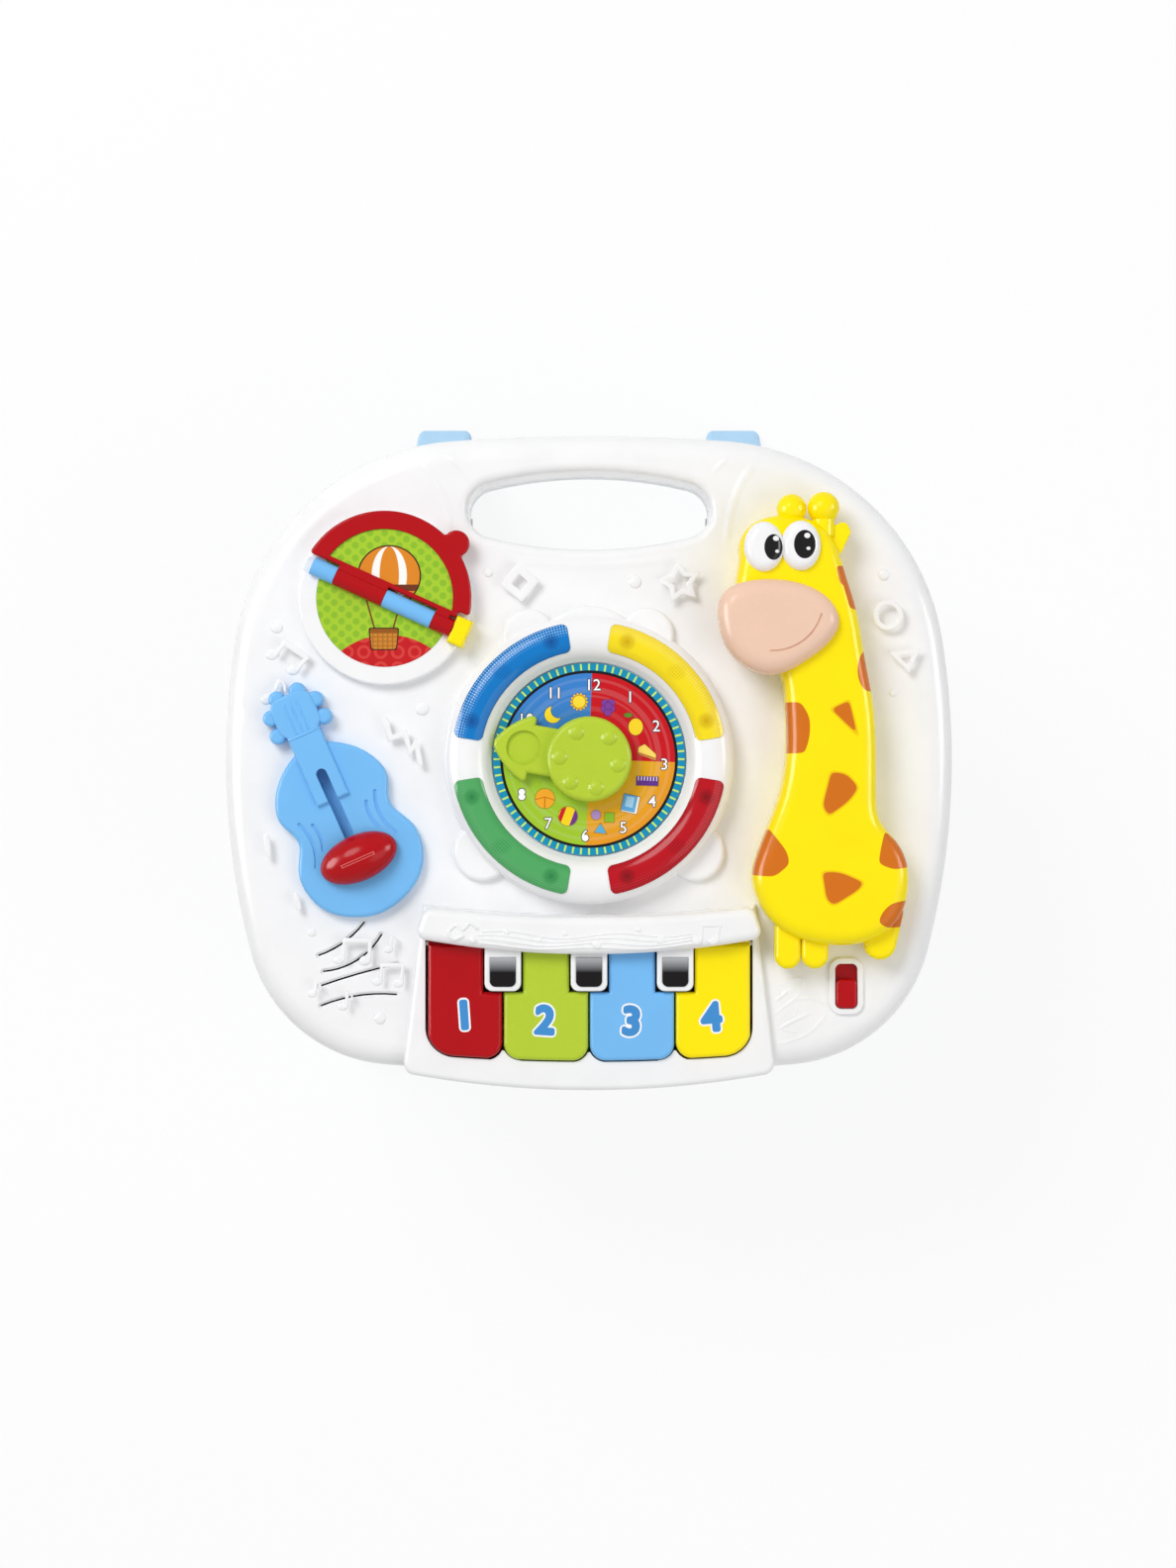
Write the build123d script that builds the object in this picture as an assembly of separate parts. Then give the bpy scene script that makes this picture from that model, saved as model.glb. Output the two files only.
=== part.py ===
from build123d import *
import math
import os

# Activity table: a white play panel on four folding legs. Millimetres, +Z up, floor at z = 0.
# Everything is drawn round the middle of the play panel (+Y to the carry handle, +X to the giraffe)
# and moved along Y at the end, so that the origin lies under the middle of the whole table.

# Case
PANEL_Z = 232.0
SHELL_DEPTH = 29.0
COVER_DEPTH = 13.0
CASE_HALF_WIDTH = 181.8
CASE_REAR_DEPTH = 162.0
CASE_FRONT_DEPTH = 157.0
SIDE_RADIUS = 380.0
REAR_RADIUS = 900.0
FRONT_RADIUS = 1200.0
REAR_CORNER_RADIUS = 118.0
FRONT_CORNER_RADIUS = 76.0
WALL = 2.5
SHELL_EDGE_RADIUS = 12.0
COVER_EDGE_RADIUS = 8.0
COVER_INSET = 0.6
SEAM_Z = PANEL_Z - SHELL_DEPTH
BASE_Z = SEAM_Z - COVER_DEPTH
CEILING_Z = PANEL_Z - WALL
FLOOR_Z = BASE_Z + WALL

# Carry-handle hole
GRIP_INSET = 38.0
GRIP_Y = CASE_REAR_DEPTH - GRIP_INSET
GRIP_HALF_LENGTH = 60.5
GRIP_HALF_WIDTH = 19.5
GRIP_END_RADIUS = 14.0
GRIP_EDGE_RADIUS = 4.5
GRIP_LOWER_EDGE_RADIUS = 2.0

# Fits
SLIDE_GAP = 0.3
SEAT_GAP = 0.1
RUNNING_GAP = 0.05

# Screws
SCREW_RADIUS = 1.3
SCREW_HEAD_RADIUS = 3.0
SCREW_HEAD_HEIGHT = 2.0
SCREW_LENGTH = 11.0
BOSS_RADIUS = 4.0
SIDE_SCREW_INSET = 17.8
SIDE_SCREW_Y = 30.0
REAR_SCREW_INSETS = (55.8, 42.0)
FRONT_SCREW_INSETS = (21.8, 87.0)
MIDDLE_SCREW_PLACE = (60.0, -60.0)
CASE_SCREW_PLACES = [
    (CASE_HALF_WIDTH - SIDE_SCREW_INSET, SIDE_SCREW_Y),
    (CASE_HALF_WIDTH - REAR_SCREW_INSETS[0], CASE_REAR_DEPTH - REAR_SCREW_INSETS[1]),
    (CASE_HALF_WIDTH - FRONT_SCREW_INSETS[0], FRONT_SCREW_INSETS[1] - CASE_FRONT_DEPTH),
    MIDDLE_SCREW_PLACE,
]
HEAD_RECESS = 4.0

# Legs
LEG_SPLAY = 16.0
HINGE_DROP = 16.0
GRIP_TO_LEG = 22.5
REAR_LEG_INSET = 42.0
FRONT_LEG_INSETS = (59.8, 59.0)
REAR_LEG_X = GRIP_HALF_LENGTH + GRIP_TO_LEG
REAR_LEG_Y = CASE_REAR_DEPTH - REAR_LEG_INSET
FRONT_LEG_X = CASE_HALF_WIDTH - FRONT_LEG_INSETS[0]
FRONT_LEG_Y = FRONT_LEG_INSETS[1] - CASE_FRONT_DEPTH
LEG_WIDTH = 31.0
LEG_TOP_RADIUS = 11.0
LEG_MID_OUTER = 13.0
LEG_FOOT_OUTER = 22.0
LEG_EDGE_RADIUS = 4.0
LEG_WALL = 3.2
LEG_POCKET_START = 22.0
LEG_POCKET_END = 150.0
LEG_POCKET_DEPTHS = (19.0, 23.0)
LEG_RIB_PLACES = (64.0, 106.0)
LEG_RIB = 2.6
PIN_RADIUS = 3.0
PIN_HEAD_RADIUS = 5.0
PIN_HEAD = 2.0
PAD_THICKNESS = 4.0
PAD_INSET = 3.0
EAR_THICKNESS = 5.0
EAR_RADIUS = 9.0
BRACKET_PLATE = 3.0
BRACKET_INNER = -15.0
BRACKET_OUTER = 19.0
FLANGE_WIDTH = 11.0
FLANGE_SCREW_STEPS = (-11.0, 0.0, 11.0)
STOP_THICKNESS = 4.0
STOP_SPAN = (-6.0, 13.0)
HINGE_Z = BASE_Z - HINGE_DROP

# Batteries
BATTERY_Y = -22.0
CELL_RADIUS = 7.1
CELL_LENGTH = 50.4
CELL_PITCH = 14.8
CELL_NUB_RADIUS = 2.7
CELL_NUB = 1.2
BAY_LENGTH = 62.0
BAY_WIDTH = 46.0
BAY_HEIGHT = 18.0
BAY_WALL = 4.0
DOOR_LEDGE = 2.0
DOOR_TAB_RADIUS = 6.0
DOOR_TAB_OUT = 5.0
CONTACT_THICKNESS = 0.6
CONTACT_POST_RADIUS = 2.6

# Main board
BOARD_PLACE = (112.0, 42.0)
BOARD_SIZE = (66.0, 56.0, 1.6)
BOARD_LIFT = 6.5
BOARD_POST_RADIUS = 3.0
BOARD_POST_INSET = 5.0
CHIP_SIZE = (14.0, 14.0, 2.4)

# Loudspeaker
SPEAKER_PLACE = (-115.0, -103.0)
SPEAKER_RADIUS = 26.0
SPEAKER_RIM = 3.0
SPEAKER_CONE_RADIUS = 22.0
MAGNET_RADIUS = 14.0
BASKET_DEPTH = 8.0
MAGNET_DEPTH = 7.0
GROOVE_WIDTH = 3.0
GROOVE_DEPTH = 1.3
SLIT_WIDTH = 0.9
SOUND_SLOTS = [
    [(-134.3, -97.4), (-121.5, -90.7), (-111.8, -81.0)],
    [(-131.9, -105.4), (-115.4, -99.9), (-103.2, -87.1)],
    [(-133.7, -112.7), (-114.0, -106.4), (-95.3, -101.7)],
    [(-133.1, -122.4), (-116.0, -117.6), (-95.9, -116.9)],
]

# Keyboard
HOUSING_RAISE = 6.0
HOUSING_REAR_Y = -72.0
HOUSING_FRONT_Y = -155.4
HOUSING_FRONT_BOW = 8.6
HOUSING_REAR_BOW = 5.0
HOUSING_REAR_HALF = 82.5
HOUSING_FRONT_HALF = 92.5
HOUSING_CORNER = 6.0
HOUSING_EDGE = 3.0
WELL_HALF = 81.0
WELL_REAR_Y = -85.4
WELL_FRONT_Y = -146.4
WELL_FRONT_BOW = 3.4
WELL_CORNER = 15.0
BED_THICKNESS = 3.0
KEY_RAISE = 9.0
KEY_DEPTH = 13.0
KEY_GAP = 0.8
KEY_END_GAP = 0.8
KEY_WALL = 2.4
KEY_EDGE = 2.2
KEY_CORNER = 8.0
OUTER_KEY_WIDTH = 37.5
INNER_KEY_WIDTH = 42.5
PIVOT_Y = -91.0
PIVOT_DROP = 8.0
BARREL_RADIUS = 4.6
ROD_RADIUS = 2.0
ROD_SOCKET = 1.5
PLUNGER_Y = -131.0
PLUNGER_RADIUS = 4.0
DOME_HEIGHT = 8.0
DOME_RADIUS = 6.5
CANOPY_REAR = (81.0, -72.6, -77.6)
CANOPY_FRONT = (86.0, -88.0, -96.0)
CANOPY_HEIGHT = 12.5
CANOPY_ROOF = 5.5
CANOPY_EDGE = 4.0
CANOPY_CORNER = 5.0
SHARP_WIDTH = 18.0
SHARP_FRONT_Y = -114.4
SHARP_CORNER = 4.0
SHARP_BOTTOM_DROP = 5.0
SHARP_RAISE = 3.0
INSERT_WIDTH = 13.0
INSERT_FRONT_Y = -112.2
INSERT_REAR_Y = -97.5
INSERT_DEPTH = 2.5
INSERT_PROUD = 0.8
INSERT_CORNER = 3.0
HOUSING_TOP_Z = PANEL_Z + HOUSING_RAISE
KEY_TOP_Z = PANEL_Z + KEY_RAISE
PIVOT_Z = KEY_TOP_Z - PIVOT_DROP
BED_TOP_Z = SEAM_Z + BED_THICKNESS
KEY_LINES = [
    -INNER_KEY_WIDTH - OUTER_KEY_WIDTH,
    -INNER_KEY_WIDTH,
    0.0,
    INNER_KEY_WIDTH,
    INNER_KEY_WIDTH + OUTER_KEY_WIDTH,
]

# Clock
CLOCK_BASE_RADIUS = 72.0
CLOCK_BASE_HEIGHT = 5.0
CLOCK_BASE_EDGE = 2.5
BELL_ANGLES = (65.0, 116.0)
BELL_OUT = 68.0
BELL_RADIUS = 13.5
CLOCK_FOOT_ANGLES = (221.0, -41.0)
CLOCK_FOOT_OUT = 70.0
CLOCK_FOOT_RADIUS = 14.5
CLOCK_TOP_OUT = 46.0
CLOCK_TOP_RADIUS = 30.0
BEZEL_CROWN_RADIUS = 12.0
BEZEL_CROWN_OUT = 60.5
BEZEL_CROWN_Z = -0.5
BEZEL_OUTER = 70.5
BEZEL_INNER = 50.5
BEZEL_FOOT = 48.2
BEZEL_WALL = 1.8
WINDOW_INNER = 53.4
WINDOW_OUTER = 67.6
WINDOW_SPAN = 71.0
WINDOW_CORNER = 3.0
WINDOW_PROUD = 0.5
WINDOW_FLANGE = 1.0
WINDOW_FLANGE_STEP = 1.0
WINDOW_ANGLES = {"window_yellow": 45.0, "window_blue": 135.0, "window_green": 225.0, "window_red": 315.0}
LAMP_BOARD = 1.6
LAMP_BOARD_RADII = (54.5, 66.0)
LAMP_OUT = 60.0
LAMP_RADIUS = 2.5
LAMP_HEIGHT = 3.0
LAMP_OFFSET = 17.0
DIAL_RADIUS = 47.6
DIAL_THICKNESS = 2.0
KNOB_HUB_RADIUS = 21.0
KNOB_HUB_HEIGHT = 12.0
KNOB_EDGE = 3.0
POINTER_HEIGHT = 6.5
POINTER_EDGE = 2.0
POINTER_ANGLE = 170.0
POINTER_TIP = 48.4
POINTER_TIP_RADIUS = 5.0
POINTER_BARB = (28.7, 17.2)
POINTER_SIDE = (39.0, 11.4)
POINTER_STEM_HALF = 12.0
POINTER_DISH_OUT = 32.7
POINTER_DISH_RADIUS = 8.5
POINTER_DISH_DEPTH = 2.0
BUMP_OUT = 14.5
BUMP_RADIUS = 4.0
BUMP_RISE = 1.6
BUMP_ANGLES = (115.0, 47.0, -11.0, -76.0, -129.0, 176.0)
KNOB_SHAFT_RADIUS = 4.0
KNOB_SHAFT_BELOW = 6.0
RETAINER_RADIUS = 8.5
RETAINER_THICKNESS = 2.5
CLOCK_TOP_Z = PANEL_Z + CLOCK_BASE_HEIGHT
DIAL_TOP_Z = CLOCK_TOP_Z + DIAL_THICKNESS
KNOB_Z = DIAL_TOP_Z + SLIDE_GAP

# Flip page
PAGE_PLACE = (-101.0, 79.6)
PAGE_ANGLE = -24.3
PAGE_BASE_RADIUS = 43.0
PAGE_BASE_HEIGHT = 6.0
PAGE_BASE_EDGE = 1.5
CARD_RADIUS = 34.0
CARD_THICKNESS = 0.8
PAGE_THICKNESS = 5.0
PAGE_EDGE = 1.2
PAGE_START = 5.4
PAGE_CORNER = 1.5
PAGE_HINGE_RIM = 2.4
PAGE_WEB = 2.2
PAGE_CARD = 0.5
PAGE_TAB_OUT = 44.5
PAGE_TAB_ANGLE = 61.3
PAGE_TAB_RADIUS = 6.5
KNUCKLE_RADIUS = 4.5
END_CAP_IN = 6.2
END_CAP_OUT = 2.0
END_CAP_CLEARANCE = 2.0
END_CAP_SPAN = (PAGE_BASE_RADIUS - END_CAP_IN, PAGE_BASE_RADIUS + END_CAP_OUT)
BAR_INSET = 4.0
FIXED_KNUCKLES = [(BAR_INSET - PAGE_BASE_RADIUS, -26.4), (0.0, 26.0)]
MOVING_KNUCKLES = [(-26.4, 0.0), (26.0, END_CAP_SPAN[0])]
KNUCKLE_FOOT = 5.0
PAGE_PIN_RADIUS = 1.5
END_CAP_HALF = 7.0
END_CAP_RISE = 7.0
END_CAP_EDGE = 1.5
PAGE_TOP_Z = PANEL_Z + PAGE_BASE_HEIGHT
PAGE_AXIS_Z = PAGE_TOP_Z + SLIDE_GAP + PAGE_THICKNESS / 2

# Guitar
GUITAR_PLACE = (-118.3, -38.1)
GUITAR_TILT = 24.0
GUITAR_HEIGHT = 7.0
GUITAR_EDGE = 2.2
GUITAR_SIDE = [
    (14.5, -37.5), (25.5, -29.5), (31, -17.5), (30.8, -7), (27, 1), (24.8, 7), (26.2, 13), (29, 20),
    (27.8, 28.5), (22.8, 37), (13.5, 45),
]
GUITAR_TAIL = -41.0
GUITAR_SHOULDER = 49.5
NECK_HALF = 8.5
NECK_START = 19.5
NECK_RAISE = 2.5
HEAD_SIZE = (22.0, 21.0)
HEAD_CENTRE = 66.0
HEAD_CORNER = 6.0
PEG_RADIUS = 4.0
PEG_HEIGHT = 8.6
PEG_PLACES = [(12.5, 59.5), (-12.5, 59.5), (12.0, 69.0), (-12.0, 69.0), (5.5, 76.5), (-5.5, 76.5)]
SLOT_END_GAP = 2.5
SLIDER_REST = -11.6
SLIDER_TRAVEL = 42.0
SLIDER_HALF_LENGTH = 20.0
SLIDER_HALF_WIDTH = 11.5
SLIDER_HEIGHT = 11.0
SLIDER_STEM = (4.8, 7.0)
SHUTTLE_HALF_WIDTH = 8.0
SHUTTLE_THICKNESS = 2.5
SHUTTLE_LAP = 2.0
SOUND_HOLE_WIDTH = 1.6
SOUND_HOLE_DEPTH = 0.9
SOUND_HOLES = [
    [(20.5, 15.5), (18.2, 4.0), (21.5, -7.0)],
    [(14.5, 12.5), (13.4, 6.0), (14.8, -1.0)],
]

# Giraffe handset
GIRAFFE_OUTLINE = [
    (74, 101.5), (78.5, 113.8), (89.8, 118.9), (102.6, 118.7), (114.5, 113.8), (122.2, 101.5),
    (125.8, 90.2), (130.8, 73.6), (135, 50.2), (139.2, 27), (140.7, 2.3), (140.7, -16.4),
    (143.1, -31.2), (149.5, -39.1), (155.4, -50), (156.4, -62.3), (150.7, -79.6), (140.2, -88),
    (122.4, -91.3), (100.7, -87), (89, -78.7), (83.1, -69.2), (80.4, -58), (82.4, -48),
    (88.2, -33), (94.1, -16.4), (97.1, 1.8), (96.7, 27), (94.3, 41.8), (85.9, 56.1),
    (77, 70.9), (72.5, 86.7),
]
GIRAFFE_BACK = 8.0
GIRAFFE_FRONT = 18.0
GIRAFFE_EDGE = 7.5
GIRAFFE_BACK_EDGE = 2.0
GIRAFFE_HOLLOW = [(118.5, -8, 33, 94), (118.5, -57.5, 52, 43), (117.5, 64.5, 15, 45)]
GIRAFFE_SKIN = 4.0
MUZZLE_OUTLINE = [
    (63.2, 69.7), (68.2, 83.3), (80.4, 87.2), (95.2, 87.2), (108.4, 83.7), (118.3, 76.4),
    (121.9, 66.5), (116.6, 56.5), (105, 47.4), (91.8, 41.4), (80.2, 43.2), (68.2, 53.3),
]
MUZZLE_Z = (12.0, 34.0)
MUZZLE_EDGE = 8.0
MUZZLE_BACK_EDGE = 3.0
SMILE = [(88.3, 52.4), (103.9, 57.3), (112.7, 70.0)]
SMILE_WIDTH = 1.0
SMILE_DEPTH = 0.8
EYE_PLACES = [(85.3, 103.5), (103.3, 104.0)]
EYE_HALF = (9.7, 12.2)
EYE_Z = (14.0, 31.0)
EYE_EDGE = 5.0
HORNS = [(99.5, 122.9, 7.3), (115.1, 123.4, 7.9)]
HORN_Z = 16.0
HORN_STEM_RADIUS = 5.4
HORN_STEM_BACK = 14.0
EAR = [(111.9, 110.8), (126.1, 117.2), (128.9, 111.5), (121.8, 96.9)]
EAR_Z = (10.0, 17.0)
EAR_CORNER = 3.0
HOOVES = [
    ((97.7, -77.3), (97.7, -96.8), 6.4),
    ((111.1, -77.3), (111.1, -96.4), 6.7),
    ((146.5, -75.4), (143.1, -90.7), 8.0),
]
HOOF_Z = (8.0, 17.0)
HOOF_EDGE = 3.0
POST_PLACES = [(118.5, -2.0), (118.5, -57.5)]
POST_RADIUS = 4.0
POST_HEIGHT = 5.0

# Power switch
SWITCH_PLACE = (127.7, -112.6)
SWITCH_WINDOW = (11.2, 22.4)
SWITCH_WINDOW_CORNER = 3.0
SWITCH_RIM = 3.0
SWITCH_RIM_HEIGHT = 2.0
SWITCH_RIM_EDGE = 0.9
SWITCH_CAP = (10.4, 14.4)
SWITCH_CAP_HEIGHT = 3.5
SWITCH_CAP_EDGE = 1.4
SWITCH_TRAVEL = 7.0
SWITCH_SKIRT = 1.5
SWITCH_SKIRT_LAP = 0.8
SWITCH_SKIRT_CORNER = 4.0
SWITCH_BODY = (15.0, 28.0, 9.0)

# Whole table
LEG_SINE = math.sin(math.radians(LEG_SPLAY))
LEG_COSINE = math.cos(math.radians(LEG_SPLAY))
FOOT_REACH = HINGE_Z * LEG_SINE / LEG_COSINE + LEG_FOOT_OUTER / LEG_COSINE
TABLE_REAR_Y = REAR_LEG_Y + FOOT_REACH
TABLE_FRONT_Y = FRONT_LEG_Y - FOOT_REACH
SHIFT_Y = -(TABLE_REAR_Y + TABLE_FRONT_Y) / 2


def prism(face, low, high):
    return extrude(Pos(0, 0, low) * face, amount=high - low)


def post(x, y, low, high, radius):
    return Pos(x, y, (low + high) / 2) * Cylinder(radius, high - low)


def block(x_span, y_span, z_span):
    centre = [sum(span) / 2 for span in (x_span, y_span, z_span)]
    return Pos(*centre) * Box(x_span[1] - x_span[0], y_span[1] - y_span[0], z_span[1] - z_span[0])


def rod_x(x_span, y, z, radius):
    return Pos(sum(x_span) / 2, y, z) * Rot(0, 90, 0) * Cylinder(radius, x_span[1] - x_span[0])


def round_top(part, radius):
    return fillet(part.edges().group_by(Axis.Z)[-1], radius)


def round_bottom(part, radius):
    return fillet(part.edges().group_by(Axis.Z)[0], radius)


def group(parts):
    return Compound([solid for part in parts for solid in part.solids()])


def both_sides(places):
    return [(side * x, y) for side in (1, -1) for x, y in places]


def loop_face(points):
    return make_face(Spline(*points, periodic=True))


def corner_arc(half_width, half_depth, side_radius, end_radius, corner_radius):
    """Side tangent point, middle and end tangent point of a corner that joins a side arc to an end arc."""
    side = (half_width - side_radius, 0.0)
    end = (0.0, half_depth - end_radius)
    to_side = side_radius - corner_radius
    to_end = end_radius - corner_radius
    apart = math.hypot(end[0] - side[0], end[1] - side[1])
    ux, uy = (end[0] - side[0]) / apart, (end[1] - side[1]) / apart
    along = (to_side**2 - to_end**2 + apart**2) / (2 * apart)
    across = math.sqrt(to_side**2 - along**2)
    middles = [
        (side[0] + along * ux - s * across * uy, side[1] + along * uy + s * across * ux) for s in (1, -1)
    ]
    cx, cy = max(middles, key=sum)
    side_point = [side[i] + (c - side[i]) * side_radius / to_side for i, c in enumerate((cx, cy))]
    end_point = [end[i] + (c - end[i]) * end_radius / to_end for i, c in enumerate((cx, cy))]
    mx, my = (side_point[0] + end_point[0]) / 2 - cx, (side_point[1] + end_point[1]) / 2 - cy
    scale_up = corner_radius / math.hypot(mx, my)
    return tuple(side_point), (cx + mx * scale_up, cy + my * scale_up), tuple(end_point)


def case_face(inset):
    """Outline of the case, moved in by the inset."""
    width = CASE_HALF_WIDTH - inset
    rear_depth = CASE_REAR_DEPTH - inset
    front_depth = CASE_FRONT_DEPTH - inset
    side = SIDE_RADIUS - inset
    rear = corner_arc(width, rear_depth, side, REAR_RADIUS - inset, REAR_CORNER_RADIUS - inset)
    front = corner_arc(width, front_depth, side, FRONT_RADIUS - inset, FRONT_CORNER_RADIUS - inset)
    front = [(x, -y) for x, y in front]

    def left(point):
        return (-point[0], point[1])

    arcs = [
        ThreePointArc(front[0], (width, 0), rear[0]),
        ThreePointArc(rear[0], rear[1], rear[2]),
        ThreePointArc(rear[2], (0, rear_depth), left(rear[2])),
        ThreePointArc(left(rear[2]), left(rear[1]), left(rear[0])),
        ThreePointArc(left(rear[0]), (-width, 0), left(front[0])),
        ThreePointArc(left(front[0]), left(front[1]), left(front[2])),
        ThreePointArc(left(front[2]), (0, -front_depth), front[2]),
        ThreePointArc(front[2], front[1], front[0]),
    ]
    return make_face(arcs)


def grip_face(grow):
    """Long oval of the handle hole, grown outwards."""
    length = GRIP_HALF_LENGTH + grow
    width = GRIP_HALF_WIDTH + grow
    end = GRIP_END_RADIUS + grow
    long_radius = ((length - end) ** 2 + width**2 - end**2) / (2 * (width - end))
    lean = math.atan2(length - end, long_radius - width)
    tx, ty = long_radius * math.sin(lean), long_radius * math.cos(lean) + width - long_radius
    arcs = [
        ThreePointArc((tx, -ty), (length, 0), (tx, ty)),
        ThreePointArc((tx, ty), (0, width), (-tx, ty)),
        ThreePointArc((-tx, ty), (-length, 0), (-tx, -ty)),
        ThreePointArc((-tx, -ty), (0, -width), (tx, -ty)),
    ]
    return Pos(0, GRIP_Y) * make_face(arcs)


def bowed_face(rear_half, front_half, rear_y, front_y, bow):
    """Four-sided outline with a bowed front edge."""
    return make_face([
        Line((-front_half, front_y), (-rear_half, rear_y)),
        Line((-rear_half, rear_y), (rear_half, rear_y)),
        Line((rear_half, rear_y), (front_half, front_y)),
        ThreePointArc((front_half, front_y), (0, front_y - bow), (-front_half, front_y)),
    ])


def housing_face():
    halves = (HOUSING_REAR_HALF, HOUSING_FRONT_HALF)
    face = bowed_face(*halves, HOUSING_REAR_Y, HOUSING_FRONT_Y, HOUSING_FRONT_BOW)
    left, middle, right = bow((HOUSING_REAR_HALF, HOUSING_REAR_Y, HOUSING_REAR_Y - HOUSING_REAR_BOW))
    face -= make_face([ThreePointArc(left, middle, right), Line(right, left)])
    return fillet(face.vertices().group_by(Axis.Y)[0], HOUSING_CORNER)


def well_face(inset):
    half = WELL_HALF - inset
    face = bowed_face(half, half, WELL_REAR_Y - inset, WELL_FRONT_Y + inset, WELL_FRONT_BOW)
    return fillet(face.vertices().group_by(Axis.Y)[0], WELL_CORNER - inset)


def screw(x, y, head_z, length):
    """Screw driven upwards, with the underside of its head at head_z."""
    shank = post(x, y, head_z, head_z + length, SCREW_RADIUS)
    head = post(x, y, head_z - SCREW_HEAD_HEIGHT, head_z, SCREW_HEAD_RADIUS)
    recess = post(x, y, head_z - SCREW_HEAD_HEIGHT, head_z - SCREW_HEAD_HEIGHT / 2, SCREW_RADIUS)
    return shank + head - recess


def groove(points, width, low, high):
    return prism(SlotArc(ThreePointArc(*points), width), low, high)


def guitar_place(part):
    return Pos(*GUITAR_PLACE) * Rot(0, 0, GUITAR_TILT) * part


def page_place(part):
    return Pos(*PAGE_PLACE) * Rot(0, 0, PAGE_ANGLE) * part


def strum_slot(grow):
    stem_x, stem_y = SLIDER_STEM
    length = SLIDER_TRAVEL + stem_y + 2 * (SLOT_END_GAP + grow)
    width = stem_x + 2 * (SLIDE_GAP + grow)
    return Pos(0, SLIDER_REST + SLIDER_TRAVEL / 2) * Rot(0, 0, 90) * SlotOverall(length, width)


def switch_window(grow):
    width, depth = SWITCH_WINDOW
    window = RectangleRounded(width + 2 * grow, depth + 2 * grow, SWITCH_WINDOW_CORNER + grow)
    return Pos(*SWITCH_PLACE) * window


def make_top_shell():
    shell = round_top(prism(case_face(0), SEAM_Z, PANEL_Z), SHELL_EDGE_RADIUS)
    shell -= round_top(prism(case_face(WALL), SEAM_Z, CEILING_Z), SHELL_EDGE_RADIUS - WALL)
    shell += prism(grip_face(WALL), SEAM_Z, PANEL_Z)
    shell -= prism(grip_face(0), SEAM_Z, PANEL_Z)
    rim = [
        edge for edge in shell.edges()
        if abs(edge.center().Z - PANEL_Z) < SEAT_GAP
        and abs(edge.center().Y - GRIP_Y) < GRIP_HALF_WIDTH + WALL
        and abs(edge.center().X) < GRIP_HALF_LENGTH + WALL
    ]
    shell = fillet(rim, GRIP_EDGE_RADIUS)
    for x, y in both_sides(CASE_SCREW_PLACES):
        shell += post(x, y, SEAM_Z, CEILING_Z, BOSS_RADIUS)
        shell -= post(x, y, SEAM_Z, SEAM_Z + SCREW_LENGTH, SCREW_RADIUS + RUNNING_GAP)
    shell -= prism(housing_face(), SEAM_Z, PANEL_Z)
    for points in SOUND_SLOTS:
        shell -= groove(points, GROOVE_WIDTH, PANEL_Z - GROOVE_DEPTH, PANEL_Z)
        shell -= groove(points, SLIT_WIDTH, CEILING_Z, PANEL_Z)
    shell -= post(0, 0, CEILING_Z, PANEL_Z, KNOB_SHAFT_RADIUS + SLIDE_GAP)
    shell -= guitar_place(prism(strum_slot(SLIDE_GAP), CEILING_Z, PANEL_Z))
    shell -= prism(switch_window(0), CEILING_Z, PANEL_Z)
    for x, y in POST_PLACES:
        shell += round_top(post(x, y, PANEL_Z, PANEL_Z + POST_HEIGHT, POST_RADIUS), SWITCH_RIM_EDGE)
    return shell


def bay_faces():
    """Battery bay: outside, inside, and the door opening with its screw tab."""
    place = Pos(0, BATTERY_Y)
    outside = place * Rectangle(BAY_LENGTH + 2 * BAY_WALL, BAY_WIDTH + 2 * BAY_WALL)
    inside = place * Rectangle(BAY_LENGTH, BAY_WIDTH)
    return outside, inside


def door_face(grow):
    place = Pos(0, BATTERY_Y)
    plate = place * Rectangle(BAY_LENGTH + 2 * DOOR_LEDGE + 2 * grow, BAY_WIDTH + 2 * DOOR_LEDGE + 2 * grow)
    return plate + Pos(*door_screw_place()) * Circle(DOOR_TAB_RADIUS + grow)


def door_screw_place():
    return (BAY_LENGTH / 2 + DOOR_LEDGE + DOOR_TAB_OUT, BATTERY_Y)


def leg_places():
    return {
        "rear_left": (-REAR_LEG_X, REAR_LEG_Y, 1),
        "rear_right": (REAR_LEG_X, REAR_LEG_Y, 1),
        "front_left": (-FRONT_LEG_X, FRONT_LEG_Y, -1),
        "front_right": (FRONT_LEG_X, FRONT_LEG_Y, -1),
    }


def at_hinge(part, place):
    x, y, way = place
    turn = 0 if way > 0 else 180
    return Pos(x, y, HINGE_Z) * Rot(0, 0, turn) * part


def flange_screw_places():
    out = LEG_WIDTH / 2 + SLIDE_GAP + EAR_THICKNESS + FLANGE_WIDTH / 2
    middle = (BRACKET_INNER + BRACKET_OUTER) / 2
    places = []
    for x, y, way in leg_places().values():
        for step in FLANGE_SCREW_STEPS:
            places.append((x + math.copysign(out, x), y + way * (middle + step)))
    return places


def board_posts():
    x, y = BOARD_PLACE
    half_x = BOARD_SIZE[0] / 2 - BOARD_POST_INSET
    half_y = BOARD_SIZE[1] / 2 - BOARD_POST_INSET
    return [(x + i * half_x, y + j * half_y) for i in (1, -1) for j in (1, -1)]


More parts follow.
